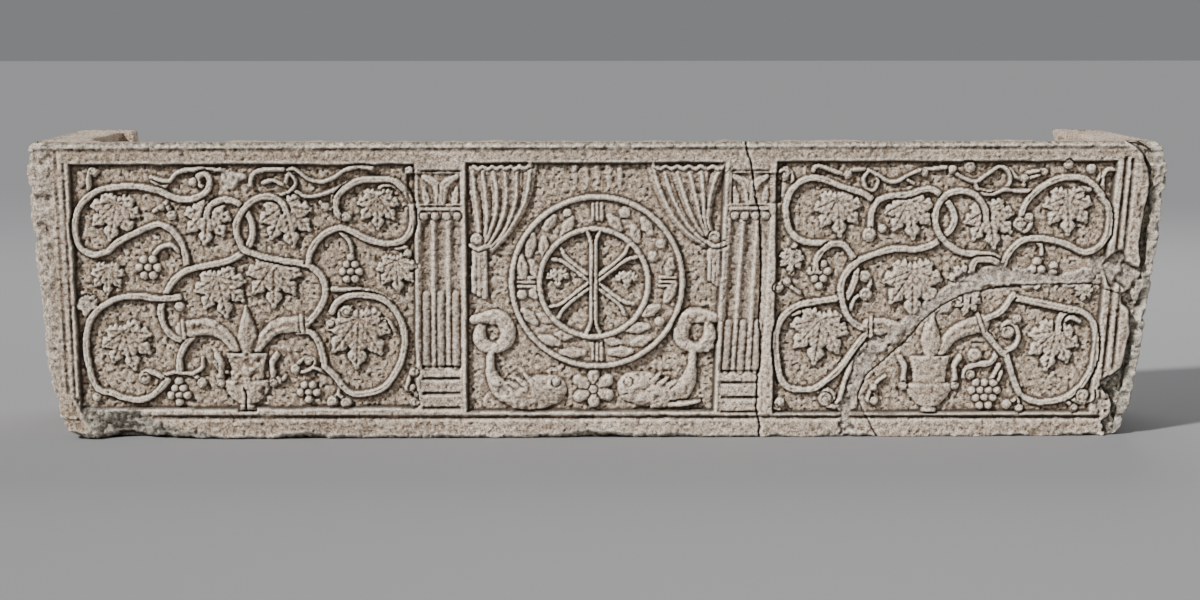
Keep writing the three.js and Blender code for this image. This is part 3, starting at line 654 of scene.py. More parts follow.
# each hanging: its folds, its knot, and its tail's left and right edge, top and foot
HANGINGS = [
    ([[(-237, 500), (-234, 469), (-230, 433), (-225, 387), (-222, 365)],
      [(-219, 500), (-214, 460), (-211, 424), (-214, 387), (-218, 365)],
      [(-199, 500), (-193, 465), (-195, 424), (-205, 392), (-215, 365)],
      [(-178, 500), (-175, 460), (-182, 419), (-195, 387), (-211, 360)],
      [(-156, 500), (-157, 455), (-166, 419), (-184, 383), (-207, 358)],
      [(-130, 517), (-137, 460), (-151, 424), (-174, 387), (-202, 355)]],
     (-230, 374), (-240, -212, 350, 270)),
    ([[(96, 517), (105, 478), (130, 424), (157, 390), (191, 364)],
      [(118, 498), (132, 455), (152, 415), (175, 385), (195, 369)],
      [(141, 498), (155, 455), (170, 415), (189, 383)],
      [(164, 498), (175, 455), (184, 415), (195, 383)],
      [(186, 498), (190, 455), (191, 419), (199, 383)],
      [(232, 517), (214, 492), (202, 451), (199, 410), (205, 387)]],
     (211, 378), (200, 222, 352, 292)),
]


def carve_hangings(relief):
    """Two knotted hangings, and the worn folds of a third high up between them."""
    for folds, knot, tail in HANGINGS:
        for path in folds:
            relief.stroke(path, (12, 8, 5), top=-8.5, round_to=3, moat=1.5, depth=0.4)
        for path in folds:
            relief.stroke(path, (3.2, 2.8, 2.4), top=-2.5, round_to=3, moat=0)
        carve_tail(relief, *tail)
        carve_curl(relief, knot, 12)
        u, v = knot
        relief.stroke([(u - 12, v - 10), (u + 2, v - 17), (u + 22, v - 10)], 4, top=-3, round_to=4)
        carve_hem(relief, folds)
    for k in range(5):
        u = -50 + 21 * k
        relief.stroke([(u, 515), (u + 2, 488), (u, 468)], (6, 6, 3), top=-12, round_to=3, moat=0)


def carve_tail(relief, left, right, top, foot):
    """Three folds that hang below a knot, each longer than the last."""
    for k in range(3):
        u = left + (right - left) * (k + 0.5) / 3
        relief.stroke([(u, top), (u, foot + 8 - 5 * k)], 5.5, top=-5, round_to=3, moat=1.6, depth=0.6)


def carve_hem(relief, folds):
    """A zigzag edge along the top of a hanging."""
    low, high = min(path[0][0] for path in folds), max(path[0][0] for path in folds)
    points = [(u, 511 - 6 * (k % 2)) for k, u in enumerate(np.linspace(low + 2, high - 4, 13))]
    relief.stroke(points, 3.2, top=-3.5, round_to=3, moat=2.6)


# each fish: strokes of (half widths, path) for its parts from the curled tail on, the eye, and its side
FISH = [
    ([((9, 14, 15, 14, 9), [(-200, 168), (-178, 182), (-174, 206), (-192, 229), (-236, 224)]),
      ((9, 13, 13, 9), [(-224, 212), (-226, 190), (-214, 174), (-196, 170)]),
      ((7, 8, 13, 18, 21, 28, 32, 28), [(-206, 162), (-205, 124), (-190, 96), (-164, 80), (-138, 80),
                                       (-116, 86), (-100, 90), (-92, 91)])], (-84, 106), 1),
    ([((9, 14, 15, 14, 9), [(176, 168), (154, 182), (151, 208), (170, 231), (216, 226)]),
      ((9, 13, 13, 9), [(202, 214), (204, 192), (192, 174), (176, 170)]),
      ((7, 8, 13, 18, 22, 29, 33, 29), [(172, 162), (169, 126), (158, 98), (134, 81), (110, 83),
                                       (88, 90), (70, 94), (60, 95)]),
      ((3, 5, 6), [(186, 69), (160, 64), (130, 62)])], (52, 106), -1),
]
# the flower between the heads: its centre, then the direction and reach of each petal
FLOWER = np.array([-14.0, 92.0])
PETALS = [(88, 34), (34, 38), (338, 36), (272, 30), (208, 36), (148, 38)]


def carve_fish(relief):
    """Two fish that face each other across a flower."""
    for strokes, eye, way in FISH:
        for widths, path in strokes:
            relief.stroke(path, widths, top=-1.5, round_to=9, moat=4, depth=0.95)
        relief.dome(eye, 8, top=0.0, drop=4, moat=1.5)
        for k in range(3):                               # fins
            u = eye[0] - way * (44 + 15 * k)
            fin = [(u, 104 - 3 * k), (u - way * 14, 120 - 7 * k)]
            relief.stroke(fin, (6, 3), top=-3, round_to=4, moat=2.4)
        cut_line(relief, (eye[0] + way * 2, 84), (eye[0] + way * 18, 80), 2.2, 5)
    for degrees, reach in PETALS:
        along = direction(degrees)
        path = [FLOWER + along * 6, FLOWER + along * 0.6 * reach, FLOWER + along * (reach - 6)]
        relief.stroke(path, (5, 12, 11), top=-2.5, round_to=7, groove=1.4, moat=2.6)
    relief.dome(FLOWER, 8, top=-1.5, drop=5)


# ---- frame and pilasters ----
# sunk fields: left edge at foot and head, right edge at foot and head, foot, head
FIELDS = [
    ((-971, -980), (-344, -343), 57, 517),
    ((-252, -251), (213, 232), 49, 519),
    ((322, 324), (921, 960), 44, 521),
]


def edge_at(ends, v):
    """Place at height v of an upright edge given by its places near the foot and the head."""
    foot_u, head_u = ends
    return foot_u + (head_u - foot_u) * (v - 50) / 470


def sink_fields(relief):
    """Sink the three fields to their ground, with a painted shadow line along each edge."""
    wobble = 1.2 * relief.rough(30, 5)
    for left, right, foot, head in FIELDS:
        from_left, from_right = relief.u - edge_at(left, relief.v), edge_at(right, relief.v) - relief.u
        inside = np.minimum.reduce([from_left, from_right, relief.v - foot, head - relief.v]) + wobble
        relief.h = relief.h + (GROUND - relief.h) * smooth_step(0, 3.5, inside)
        relief.shade(EVERYWHERE, np.where((inside > 0) & (inside < 5), 0.8, 0))


def cut_line(relief, a, b, half, depth, shade=0.7):
    """A straight worn groove between two points, with painted shade along it."""
    area, d, _ = relief.nearest(np.array([a, b], float), half + 1)
    wear_and_painted_light = 0.75 + 0.35 * relief.noise(area, 26, 8)
    share = np.clip(1 - d / half, 0, 1)
    relief.h[area] -= depth * wear_and_painted_light * smooth_step(0, 0.8, share)
    relief.shade(area, shade * share * wear_and_painted_light)


# lines along the frame: two ends, half width, depth, shade
FRAME_LINES = [
    ((-1046, 541), (978, 544), 5, 5, 0.7), ((-846, 43), (938, 36), 6, 9, 0.9),
    ((-1003, 540), (-992, 90), 5, 4, 0.4), ((-988, 516), (-979, 80), 3.5, 5, 0.6),
    ((975, 524), (939, 44), 5.5, 9, 0.8), ((988, 522), (962, 130), 5, 8, 0.8),
]


def carve_frame(relief):
    """Steps and lines of the frame, and the right corner that is set back."""
    v = relief.v
    relief.h -= 2.5 * smooth_step(541, 537, v) * (v > 515)
    relief.h -= 3 * smooth_step(42, 38, v)
    relief.h -= 3 * smooth_step(-996, -1012, relief.u) * (v < 552)
    for start, end, half, depth, shade in FRAME_LINES:
        cut_line(relief, start, end, half, depth, shade)
    relief.pale = np.maximum(relief.pale, 0.6 * smooth_step(-1002, -1022, relief.u))
    edge = np.interp(v, *zip(*SLAB_EDGE)) + 2.5 * relief.rough(22, 6)
    beyond = relief.u - edge
    relief.h -= SET_BACK * smooth_step(-2, 8, beyond) * (1 - 0.9 * relief.turned)
    # the set-back corner takes the broken stone's colour and painted shade from the slab, deeper towards the
    # foot; a painted shadow line runs along its edge
    slab_shadow = 0.65 + 0.35 * smooth_step(480, 200, v)
    relief.broken_and_shade = np.maximum(relief.broken_and_shade, slab_shadow * smooth_step(0, 8, beyond))
    relief.shade(EVERYWHERE, smooth_step(-1, 3, beyond) * smooth_step(14, 5, beyond) * 0.45)


def carve_reed(relief, u_foot, u_head, foot, reed_top, head):
    """One flute: a hollow channel, with a rounded reed standing in its lower part."""
    area, d, _ = relief.nearest(np.array([(u_foot, foot), (u_head, head)], float), 12)
    channel = np.clip(1 - (d / 11.0) ** 2, 0, 1)
    relief.h[area] -= 9 * channel ** 0.7
    # painted shade in the flute's channel
    relief.shade(area, 0.35 * channel)
    top_u = u_foot + (u_head - u_foot) * (reed_top - foot) / (head - foot)
    area, d, _ = relief.nearest(np.array([(u_foot, foot), (top_u, reed_top)], float), 9)
    relief.raise_to(area, TOP - 7 * np.clip(d / 8.0, 0, 1) ** 2.5, d < 8.0)
    # painted shadow line round the reed
    relief.shade(area, np.where((d > 7.2) & (d < 9), 0.8, 0))


def carve_capital(relief, left, right):
    """Leaves in a sunk field over two lines and a row of beads."""
    for height, half, depth, shade in ((502, 4, 9, 1.0), (437, 3.5, 7, 0.8), (427, 3.5, 7, 0.9)):
        cut_line(relief, (left + 6, height), (right - 6, height), half, depth, shade)
    relief.h[relief.window(left + 6, right - 6, 443, 497)] -= 9
    middle = (left + right) / 2
    for side in (-1, 1):
        tall = [(middle + side * 4, 446), (middle + side * 8, 476), (middle + side * 30, 492)]
        short = [(middle + side * 26, 446), (middle + side * 30, 470)]
        relief.stroke(tall, (6, 9, 5), top=-3, groove=2, moat=2)
        relief.stroke(short, (6, 7, 3), top=-4, groove=2, moat=2)
    for k in range(4):
        relief.dome((left + 10 + (right - left - 20) * k / 3, 419), 8, top=-2, drop=5, moat=2)


def carve_pilaster(relief, left, right, foot, reed_top):
    """A fluted pilaster. left and right give the (foot, head) positions of its two edges."""
    v = relief.v
    inside = (relief.u > edge_at(left, v)) & (relief.u < edge_at(right, v)) & (v > foot - 4) & (v < 520)
    relief.h = np.where(inside, np.minimum(relief.h, TOP - 1), relief.h)
    width_foot, width_head = right[0] - left[0], right[1] - left[1]
    for share in (0.17, 0.5, 0.84):
        u_foot, u_head = left[0] + width_foot * share, left[1] + width_head * share
        carve_reed(relief, u_foot, u_head, foot + 78, reed_top, 412)
    for step in (-2, 26, 54, 76):                        # the stepped base
        cut_line(relief, (left[0] + 8, foot + step), (right[0] - 8, foot + step), 4, 9, 1.0)
    carve_capital(relief, left[1], right[1])


# ---- old damage ----
# deep cracks, then the join where the broken stone was put together
CRACKS = [
    [(268, 556), (272, 530), (280, 508), (286, 452), (294, 420), (298, 300), (296, 232), (298, 160),
     (293, 104), (292, 60), (298, 30), (298, 0)],
    [(-668, 98), (-662, 84), (-664, 66), (-662, 52)],
]
JOIN = [(520, 0), (504, 30), (488, 62), (486, 84), (500, 116), (528, 142), (560, 170), (588, 200), (612, 228),
        (642, 250), (676, 268), (720, 278), (782, 286), (850, 288), (918, 288), (948, 278), (968, 272)]
# worn and filled strip beside the join: a point on its middle, half width
LOSS_BAND = [((462, 8), 10), ((464, 60), 11), ((482, 105), 14), ((500, 150), 17), ((522, 176), 18),
             ((548, 192), 15), ((574, 212), 12), ((604, 234), 13), ((640, 256), 15), ((668, 277), 17),
             ((700, 296), 20), ((728, 305), 21), ((756, 303), 16), ((800, 299), 14), ((860, 298), 12),
             ((905, 302), 17)]
# broken left foot and ragged lower edge: x, height
FOOT_BREAK = [(-1080, 88), (-985, 86), (-940, 63), (-862, 58), (-845, 46), (-800, 26), (-740, 13), (-690, 5),
              (-600, 0)]
FOOT_EDGE = [(-1080, 14), (-900, 10), (-700, 7), (-560, 12), (-440, 8), (-300, 10), (-200, 6), (-120, 8),
             (-20, 14), (60, 12), (110, 3), (300, 2), (480, 5), (520, 0), (700, 4), (900, 3), (1092, 8)]


def wear_away(relief, area, weight, depth, mask):
    """Lose the carving where weight is 1 and leave a smooth worn surface."""
    level = depth + 3.0 * relief.noise(area, 24, 22) + 2.0 * relief.noise(area, 9, 23)
    relief.h[area] = relief.h[area] * (1 - weight) + level * weight
    relief.gap[area] = relief.gap[area] * (1 - weight)
    mask[area] = np.maximum(mask[area], weight)


def fill_loss(relief, centre, radius, depth, mask):
    """A worn hollow of ragged outline."""
    u, v = centre
    area = relief.window(u - radius * 1.5, u + radius * 1.5, v - radius * 1.5, v + radius * 1.5)
    ragged = 0.45 * radius * relief.noise(area, radius * 0.6, 21)
    d = np.hypot(relief.u[area] - u, relief.v[area] - v) + ragged
    wear_away(relief, area, smooth_step(radius * 1.15, radius * 0.85, d), depth, mask)


def fill_band(relief, stations, depth, mask):
    """A worn strip of changing width along a path."""
    path = spline([point for point, _ in stations], 6)
    halves = [half for _, half in stations]
    area, d, along = relief.nearest(path, max(halves) * 1.6)
    half = np.interp(along, np.linspace(0, 1, len(halves)), halves)
    d = d + 8 * relief.noise(area, 15, 24) + 4 * relief.noise(area, 6, 27)
    wear_away(relief, area, smooth_step(half + 3, half - 2, d), depth, mask)


def scour(relief, centre, radius, depth):
    """Eat into the carving unevenly round a point."""
    u, v = centre
    area = relief.window(u - radius, u + radius, v - radius, v + radius)
    weight = smooth_step(radius, radius * 0.6, np.hypot(relief.u[area] - u, relief.v[area] - v))
    eaten = 0.45 + relief.noise(area, 15, 25) + 0.6 * relief.noise(area, 7, 26)
    relief.h[area] -= depth * weight * np.clip(eaten, 0, 1.2)


# places where the carving is partly eaten away: centre, radius, depth
SCOURED = [((-660, 118), 62, 7), ((-605, 200), 40, 4), ((-735, 200), 40, 4), ((-150, 95), 75, 4),
           ((110, 95), 75, 4), ((-195, 205), 48, 3.5), ((180, 205), 48, 3.5), ((510, 205), 40, 4)]
# places where it is gone: centre, radius, level that is left, and the mask that colours it
LOSSES = [
    ((936, 318), 24, -13, "mortar"), ((966, 316), 30, -17, "mortar"), ((990, 300), 26, -22, "mortar"),
    ((1012, 262), 30, -26, "pale"), ((953, 98), 15, -24, "broken_and_shade"), ((968, 84), 16, -30, "broken_and_shade"),
    ((960, 22), 15, -20, "broken_and_shade"), ((-682, 488), 20, -7, "pale"), ((-955, 252), 15, -7, "pale"),
    ((200, 172), 11, -7, "pale"), ((944, 60), 15, -7, "pale"), ((-184, 92), 12, -7, "pale"),
]
FOOT_BREAK_END = -600       # the left foot is broken as far as this x


def crack(relief, points, half=1.6, depth=13.0, shade=1.0):
    """A thin jagged cut with chipped edges."""
    jitter = np.random.default_rng(len(points))
    path = spline(points, 8)
    path = path + jitter.uniform(-1.3, 1.3, path.shape)
    area, d, _ = relief.nearest(path, half + 3)
    share = np.clip(1 - d / half, 0, 1)
    relief.h[area] -= depth * smooth_step(0, 0.7, share)
    relief.shade(area, shade * smooth_step(0, 0.4, share))
    relief.h[area] -= 1.6 * np.clip(1 - d / (half + 3), 0, 1)


def break_foot(relief):
    """The left foot is broken off on a slant, with a rough face."""
    line = np.interp(relief.u, *zip(*FOOT_BREAK)) + 4 * relief.rough(16, 31)
    side = (relief.u + 985 - 0.45 * (86 - relief.v)) * 0.9 + 3 * relief.rough(18, 34)
    below = np.minimum(line - relief.v, side)
    slope = -2 - 0.8 * below + 3.5 * relief.rough(22, 32)
    at_foot = relief.u < FOOT_BREAK_END
    relief.h = np.where((below > 0) & at_foot, np.minimum(relief.h, slope), relief.h)
    relief.broken_and_shade = np.maximum(relief.broken_and_shade, smooth_step(0, 4, below) * at_foot)


def chip_lower_edge(relief):
    """The lower edge is ragged all along."""
    edge = np.interp(relief.u, *zip(*FOOT_EDGE)) + 4 * relief.rough(22, 33)
    edge = edge + 5 * relief.rough(70, 35)
    relief.h = relief.h - 1.5 * np.maximum(edge - relief.v, 0)
    relief.broken_and_shade = np.maximum(relief.broken_and_shade, 0.7 * smooth_step(0, 6, edge + 4 - relief.v))


def carve_damage(relief):
    """The filled strip and the wear first, then the join and the cracks, then what is lost."""
    fill_band(relief, LOSS_BAND, -10, relief.mortar)
    for centre, radius, depth in SCOURED:
        scour(relief, centre, radius, depth)
    crack(relief, JOIN, 1.5, 7, 0.4)
    for points in CRACKS:
        crack(relief, points)
    for centre, radius, level, mask in LOSSES:
        fill_loss(relief, centre, radius, level, getattr(relief, mask))
    break_foot(relief)
    chip_lower_edge(relief)


def blurred(field, cells):
    """Box blur over a square of (2 cells + 1) points."""
    for axis in (0, 1):
        pad = [(cells + 1, cells) if k == axis else (0, 0) for k in (0, 1)]
        total = np.cumsum(np.pad(field, pad, mode="edge"), axis=axis)
        width = 2 * cells + 1
        high = np.take(total, np.arange(width, total.shape[axis]), axis=axis)
        low = np.take(total, np.arange(0, total.shape[axis] - width), axis=axis)
        field = (high - low) / width
    return field


def roughen(relief):
    """Soften the cut edges a little, then add pecking, grain and pits."""
    relief.h = 0.7 * relief.h + 0.3 * blurred(relief.h, 1)
    low = np.clip(-relief.h / 14, 0, 1)
    relief.h += low * (1.4 * relief.rough(6, 41) + 1.3 * relief.rough(11, 46))
    relief.h += 1.0 * relief.rough(19, 42) + 1.2 * relief.rough(7, 49)
    relief.h += 0.7 * relief.rough(4.2, 50)
    pits = relief.rough(4.8, 43)
    relief.h -= (1.8 + 1.6 * relief.ground) * smooth_step(0.35, 0.8, pits)


def wear_edges(relief):
    """Lumpy ends, and a ragged rim and foot."""
    corner = np.maximum(smooth_step(-1000, -1020, relief.u), smooth_step(975, 1010, relief.u))
    lumps = 8.0 * relief.rough(30, 44) + 5.0 * relief.rough(13, 45)
    relief.h += corner * np.minimum(lumps, 2.5)
    rough_rim = smooth_step(536, 545, relief.v) + smooth_step(42, 34, relief.v)
    relief.h += rough_rim * (1.8 * relief.rough(24, 47) + 1.2 * relief.rough(9, 48))
    relief.h -= 6 * smooth_step(542, 558, relief.v) ** 2
    relief.h = np.maximum(relief.h, 4 - SLAB)


def note_painted_light_and_patina(relief):
    """Mark painted highlights on ridges and painted shade in hollows, and the darker skin at both sides and
    along the rim.
    """
    around = relief.h - blurred(relief.h, 3)
    relief.ridge = np.clip(around / 2.3, 0, 1)
    relief.cavity = np.clip(-around / 2.8, 0, 1)
    relief.patina = np.interp(relief.u, [-1000, -350, -260, 240, 330, 900], [1, 0.8, 0.1, 0.1, 0.45, 0.5])
    relief.patina = np.maximum(relief.patina, smooth_step(525, 545, relief.v))
    relief.broken_and_shade = np.maximum(relief.broken_and_shade, 0.6 * smooth_step(538, 546, relief.v))


def carve_front(s, v):
    """The whole carved face, from the frame to the last wear, with its masks."""
    relief = Relief(s, v)
    carve_frame(relief)
    sink_fields(relief)
    carve_vines(relief)
    carve_sheaths(relief)
    carve_vase(relief, -660, 56)
    carve_vase(relief, 617, 46)
    carve_garland(relief)
    for u0, v0, radius in (RING, INNER_RING):
        relief.ring((u0, v0), radius, RING_HALF)
    carve_star(relief)
    carve_hangings(relief)
    carve_fish(relief)
    carve_pilaster(relief, (-339, -338), (-257, -256), 60, 272)
    carve_pilaster(relief, (219, 238), (303, 316), 50, 216)
    carve_damage(relief)
    relief.ground = smooth_step(-11.5, -13.5, relief.h) * (1 - relief.mortar) * (1 - relief.broken_and_shade)
    roughen(relief)
    wear_edges(relief)
    note_painted_light_and_patina(relief)
    return relief


# ---- meshes ----
class Skin:
    """Rows of points round a piece, in mm, with the two stone masks of each point."""

    def __init__(self):
        self.points, self.damage, self.wear_and_painted_light = [], [], []

    def add(self, x, y, z, damage, wear_and_painted_light):
        """damage is (painted shade and cracks, mortar, broken and shade, pale), and wear_and_painted_light is
        (ridge highlight, cavity shade, ground, patina).
        """
        for rows, values in ((self.points, (x, y, z)), (self.damage, damage), (self.wear_and_painted_light, wear_and_painted_light)):
            rows.append(np.stack([np.broadcast_to(value, x.shape) for value in values], axis=1))

    def build(self, name, columns, wrap_rows, material):
        """A closed piece from some of the columns, with a map for baking."""
        points, damage, wear_and_painted_light = (np.stack(rows)[:, columns] for rows in (self.points, self.damage, self.wear_and_painted_light))
        rows, cols = points.shape[:2]
        mesh = bpy.data.meshes.new(name)
        caps = strip_caps(rows, cols) if wrap_rows else block_caps(rows, cols)
        faces = grid_faces(rows, cols, wrap_rows).tolist() + caps
        mesh.from_pydata((points.reshape(-1, 3) * MM).tolist(), [], faces)
        mesh.update()
        mesh.polygons.foreach_set("use_smooth", [True] * len(mesh.polygons))
        for layer_name, values in (("stone_damage", damage), ("stone_wear_and_painted_light", wear_and_painted_light)):
            layer = mesh.attributes.new(layer_name, "FLOAT_COLOR", "POINT")
            layer.data.foreach_set("color", values.astype(np.float32).ravel())
        corners = np.zeros(len(mesh.loops), np.int32)
        mesh.loops.foreach_get("vertex_index", corners)
        layer = mesh.uv_layers.new(name="OFBake")
        layer.data.foreach_set("uv", grid_map(rows, cols)[corners].astype(np.float32).ravel())
        mesh.materials.append(material)
        return placed(name, mesh)


def grid_faces(rows, cols, wrap_rows):
    """Four-sided faces over a grid of points. wrap_rows joins the last row to the first."""
    i = np.arange(rows if wrap_rows else rows - 1)
    jj, ii = np.meshgrid(np.arange(cols - 1), i)
    nxt = (ii + 1) % rows
    quads = np.stack([ii * cols + jj, ii * cols + jj + 1, nxt * cols + jj + 1, nxt * cols + jj], axis=-1)
    return quads.reshape(-1, 4)


def grid_map(rows, cols):
    """Place of each grid point in the square of the bake map, just inside its edges."""
    vv, uu = np.meshgrid(np.linspace(0, 1, rows), np.linspace(0, 1, cols), indexing="ij")
    return np.stack([0.01 + 0.98 * uu, 0.01 + 0.98 * vv], axis=-1).reshape(-1, 2)


def strip_caps(rows, cols):
    """The first and the last column, which close the two ends of a strip."""
    return [[i * cols for i in range(rows)], [i * cols + cols - 1 for i in reversed(range(rows))]]


def block_caps(rows, cols):
    """The first and the last row, which close the underside and the floor of the hollow."""
    return [list(range(cols - 1))[::-1], [(rows - 1) * cols + j for j in range(cols - 1)]]


def placed(name, data):
    """A new object in the scene."""
    obj = bpy.data.objects.new(name, data)
    bpy.context.scene.collection.objects.link(obj)
    return obj


# ---- the carved front ----
STRIPS = ("front_left", "front_left_centre", "front_right_centre", "front_right")
# rows under and over the carved face, as shares of the slab's thickness
UNDER_ROWS = (0.98, 0.6, 0.3, 0.1)
RIM_ROWS = (0.05, 0.12, 0.22, 0.35, 0.5, 0.65, 0.8, 0.98)
UNDER_LIFT = 0.3            # the slab's underside stands this far above the block's


def front_skin():
    """Underside, carved face and rim of the slab, over the whole front."""
    x, y, run = resample(FRONT_PLAN, FINE)
    middle = np.argmin(np.abs(x))
    v = np.linspace(0, HEIGHT, round(HEIGHT / FINE) + 1)
    relief = carve_front(run - run[middle] + x[middle], v)
    nx, ny = outward(x, y)
    skin = Skin()

    def add(z, off, damage, wear_and_painted_light=(0, 0, 0, 0)):
        px, py = stand(x, y, z)
        skin.add(px + nx * off, py + ny * off, z, damage, wear_and_painted_light)

    for share in UNDER_ROWS:
        add(UNDER_LIFT, relief.h[0] * (1 - share) - SLAB * share, (0, 0, 0.8, 0))
    damage = np.stack([relief.gap, relief.mortar, relief.broken_and_shade, relief.pale], axis=1)
    wear_and_painted_light = np.stack([relief.ridge, relief.cavity, relief.ground, relief.patina], axis=1)
    for i, z in enumerate(v):
        add(z, relief.h[i], damage[i], wear_and_painted_light[i])
    px, py = stand(x, y, HEIGHT)
    for share in RIM_ROWS:
        off = relief.h[-1] * (1 - share) - SLAB * share
        add(rim_height(px + nx * off, py + ny * off, -off), off, (0, 0, 0, 0.15))
    return skin, len(x)


def front_pieces(material):
    """The carved front, in upright strips that meet edge to edge."""
    skin, width = front_skin()
    cuts = np.linspace(0, width - 1, len(STRIPS) + 1).astype(int)
    return [skin.build(name, np.arange(first, last + 1), True, material)
            for name, first, last in zip(STRIPS, cuts[:-1], cuts[1:])]


def rim_height(x, y, depth):
    """Height of the rim: worn, rounded off at its outer edge and chipped at the left corner."""
    z = HEIGHT - 3.4 + 2.6 * flat_noise(x, y, 40, 51) + 1.3 * flat_noise(x, y, 11, 52)
    z = z - 2.6 * np.clip(1 - depth / 9.0, 0, 1) ** 2
    chip = np.exp(-(((x + 1052) / 40) ** 2 + ((y + 236) / 70) ** 2))
    return np.minimum(z - 11 * chip, HEIGHT)


# ---- the rest of the block ----
BLOCK_WEAR = (0, 0, 0, 0.5)
# rows of the underside and of the hollow's floor, as shares of the way out from the middle
UNDERSIDE_ROWS = (0.02, 0.3, 0.6, 0.85, 0.95, 0.99)
FLOOR_ROWS = (0.97, 0.9, 0.75, 0.5, 0.25, 0.02)
OUTER_ROWS = 62
TOP_ROWS = 14
WALL_ROWS = 44


class BlockPlan:
    """The block's outer plan at the rim, let in behind the slab along the front."""

    def __init__(self):
        front_x, front_y, _ = resample(FRONT_PLAN, COARSE)
        back_x, back_y, _ = resample(BACK_PLAN, COARSE)
        self.x, self.y = self.joined(front_x, back_x), self.joined(front_y, back_y)
        normals = zip(outward(front_x, front_y), outward(back_x, back_y))
        self.nx, self.ny = (self.joined(front, back) for front, back in normals)
        self.inset = self.joined(np.full(len(front_x), SLAB), np.zeros(len(back_x)))
        self.inset[[0, len(front_x) + 1]] = 0
        self.is_front = self.inset > 0

    @staticmethod
    def joined(front, back):
        """One closed run. The front's ends come twice: on the outer face, and behind the slab."""
        return np.concatenate([front[:1], front, front[-1:], back[1:-1]])

    def outer(self, z):
        """The outer faces at height z, behind the slab along the front."""
        x, y = stand(self.x, self.y, z)
        return x - self.nx * self.inset, y - self.ny * self.inset

    def wall_tops(self):
        """Height of the wall's inner and outer top edge, ragged where the back is broken."""
        ragged = 12 * flat_noise(self.x, self.y, 34, 61) + 7 * flat_noise(self.x, self.y, 15, 62)
        at_back = (self.y > 150) & (np.abs(self.x) < 1030)
        across, inner, outer = zip(*BREAK_LINE)
        tops = []
        for heights, way in ((inner, 1.0), (outer, -0.7)):
            line = np.where(at_back, np.interp(self.x, across, heights), UNBROKEN)
            tops.append(np.minimum(line + np.where(line < UNBROKEN - 5, way * ragged, 0), HEIGHT - 2))
        return tops


def add_outer_faces(skin, plan, top):
    """The ends and the back, rough and lumpy, and the plain face behind the slab."""
    for share in np.linspace(0, 1, OUTER_ROWS):
        z = share * top
        x, y = stand(plan.x, plan.y, z)
        at_end = smooth_step(1000, 1040, np.abs(plan.x))
        lumps = 4.5 * value_noise(x, y, z, 36, 68) + 2.5 * value_noise(x, y, z, 17, 69) - 1.5
        rough = 1.4 * rough_stone(x, y, z) + 2.4 * value_noise(x, y, z, 30, 63) + tool_marks(x, y, z)
        rough = rough + at_end * lumps
        fade = np.where(plan.is_front, 0.0, np.clip(np.minimum(z, HEIGHT - z) / 14.0, 0.15, 1.0))
        off = np.minimum(rough * fade, 2.0) - plan.inset - 2.0 * (~plan.is_front)
        # darker towards the bottom, and darker on the right end: partly its broken face, partly painted shade
        # on the side turned from the light
        broken_and_shade = np.clip(1 - z / 30, 0, 0.6) + 0.3 * smooth_step(1000, 1040, plan.x)
        skin.add(x + plan.nx * off, y + plan.ny * off, z, (0, 0, broken_and_shade, 0.15 * (1 - fade)), BLOCK_WEAR)


def add_wall_tops(skin, plan, top_in, top_out):
    """The rim at the ends and behind the slab, and the broken top of the back wall."""
    lost = smooth_step(HEIGHT - 4, HEIGHT - 40, np.minimum(top_in, top_out))
    inner_x, inner_y = inner_ring(plan.x, plan.y, HEIGHT)
    outer_x, outer_y = plan.outer(top_out)
    for share in np.linspace(0.04, 0.96, TOP_ROWS):
        x, y = outer_x + (inner_x - outer_x) * share, outer_y + (inner_y - outer_y) * share
        from_edge = np.where(plan.is_front, SLAB, np.hypot(x - outer_x, y - outer_y))
        jagged = 9 * flat_noise(x, y, 26, 64) + 5 * flat_noise(x, y, 12, 65)
        snapped = top_out + (top_in - top_out) * share + jagged * lost
        z = rim_height(x, y, from_edge) * (1 - lost) + snapped * lost
        skin.add(x, y, np.minimum(z, HEIGHT), (0, 0, 0.35 * lost, 0.25 * (1 - lost)), BLOCK_WEAR)


def add_hollow(skin, plan, top_in):
    """Walls and floor of the hollow."""
    # painted shade in the hollow, deepening down the walls and laid over the floor
    for share in np.linspace(1, 0, WALL_ROWS):
        z = FLOOR + (np.minimum(top_in, HEIGHT - 4) - FLOOR) * share
        x, y = inner_ring(plan.x, plan.y, z)
        off = 1.5 * rough_stone(x, y, z) + tool_marks(x, y, z)
        skin.add(x - plan.nx * off, y - plan.ny * off, z, (0.25 * (1 - share), 0, 0, 0), BLOCK_WEAR)
    inner_x, inner_y = inner_ring(plan.x, plan.y, FLOOR)
    for share in FLOOR_ROWS:
        x, y = inner_x * share, inner_y * share
        z = FLOOR + 2 * rough_stone(x, y, np.zeros_like(x))
        skin.add(x, y, z, (0.3, 0, 0, 0), BLOCK_WEAR)


def block_piece(material):
    """Ends, back, hollow, floor and underside in one closed skin."""
    plan = BlockPlan()
    top_in, top_out = plan.wall_tops()
    skin = Skin()
    x, y = plan.outer(0.0)
    for share in UNDERSIDE_ROWS:
        skin.add(x * share, y * share, 0.0, (0, 0, 0.5, 0), BLOCK_WEAR)
    add_outer_faces(skin, plan, top_out)
    add_wall_tops(skin, plan, top_in, top_out)
    add_hollow(skin, plan, top_in)
    return skin.build("block", np.append(np.arange(len(plan.x)), 0), False, material)


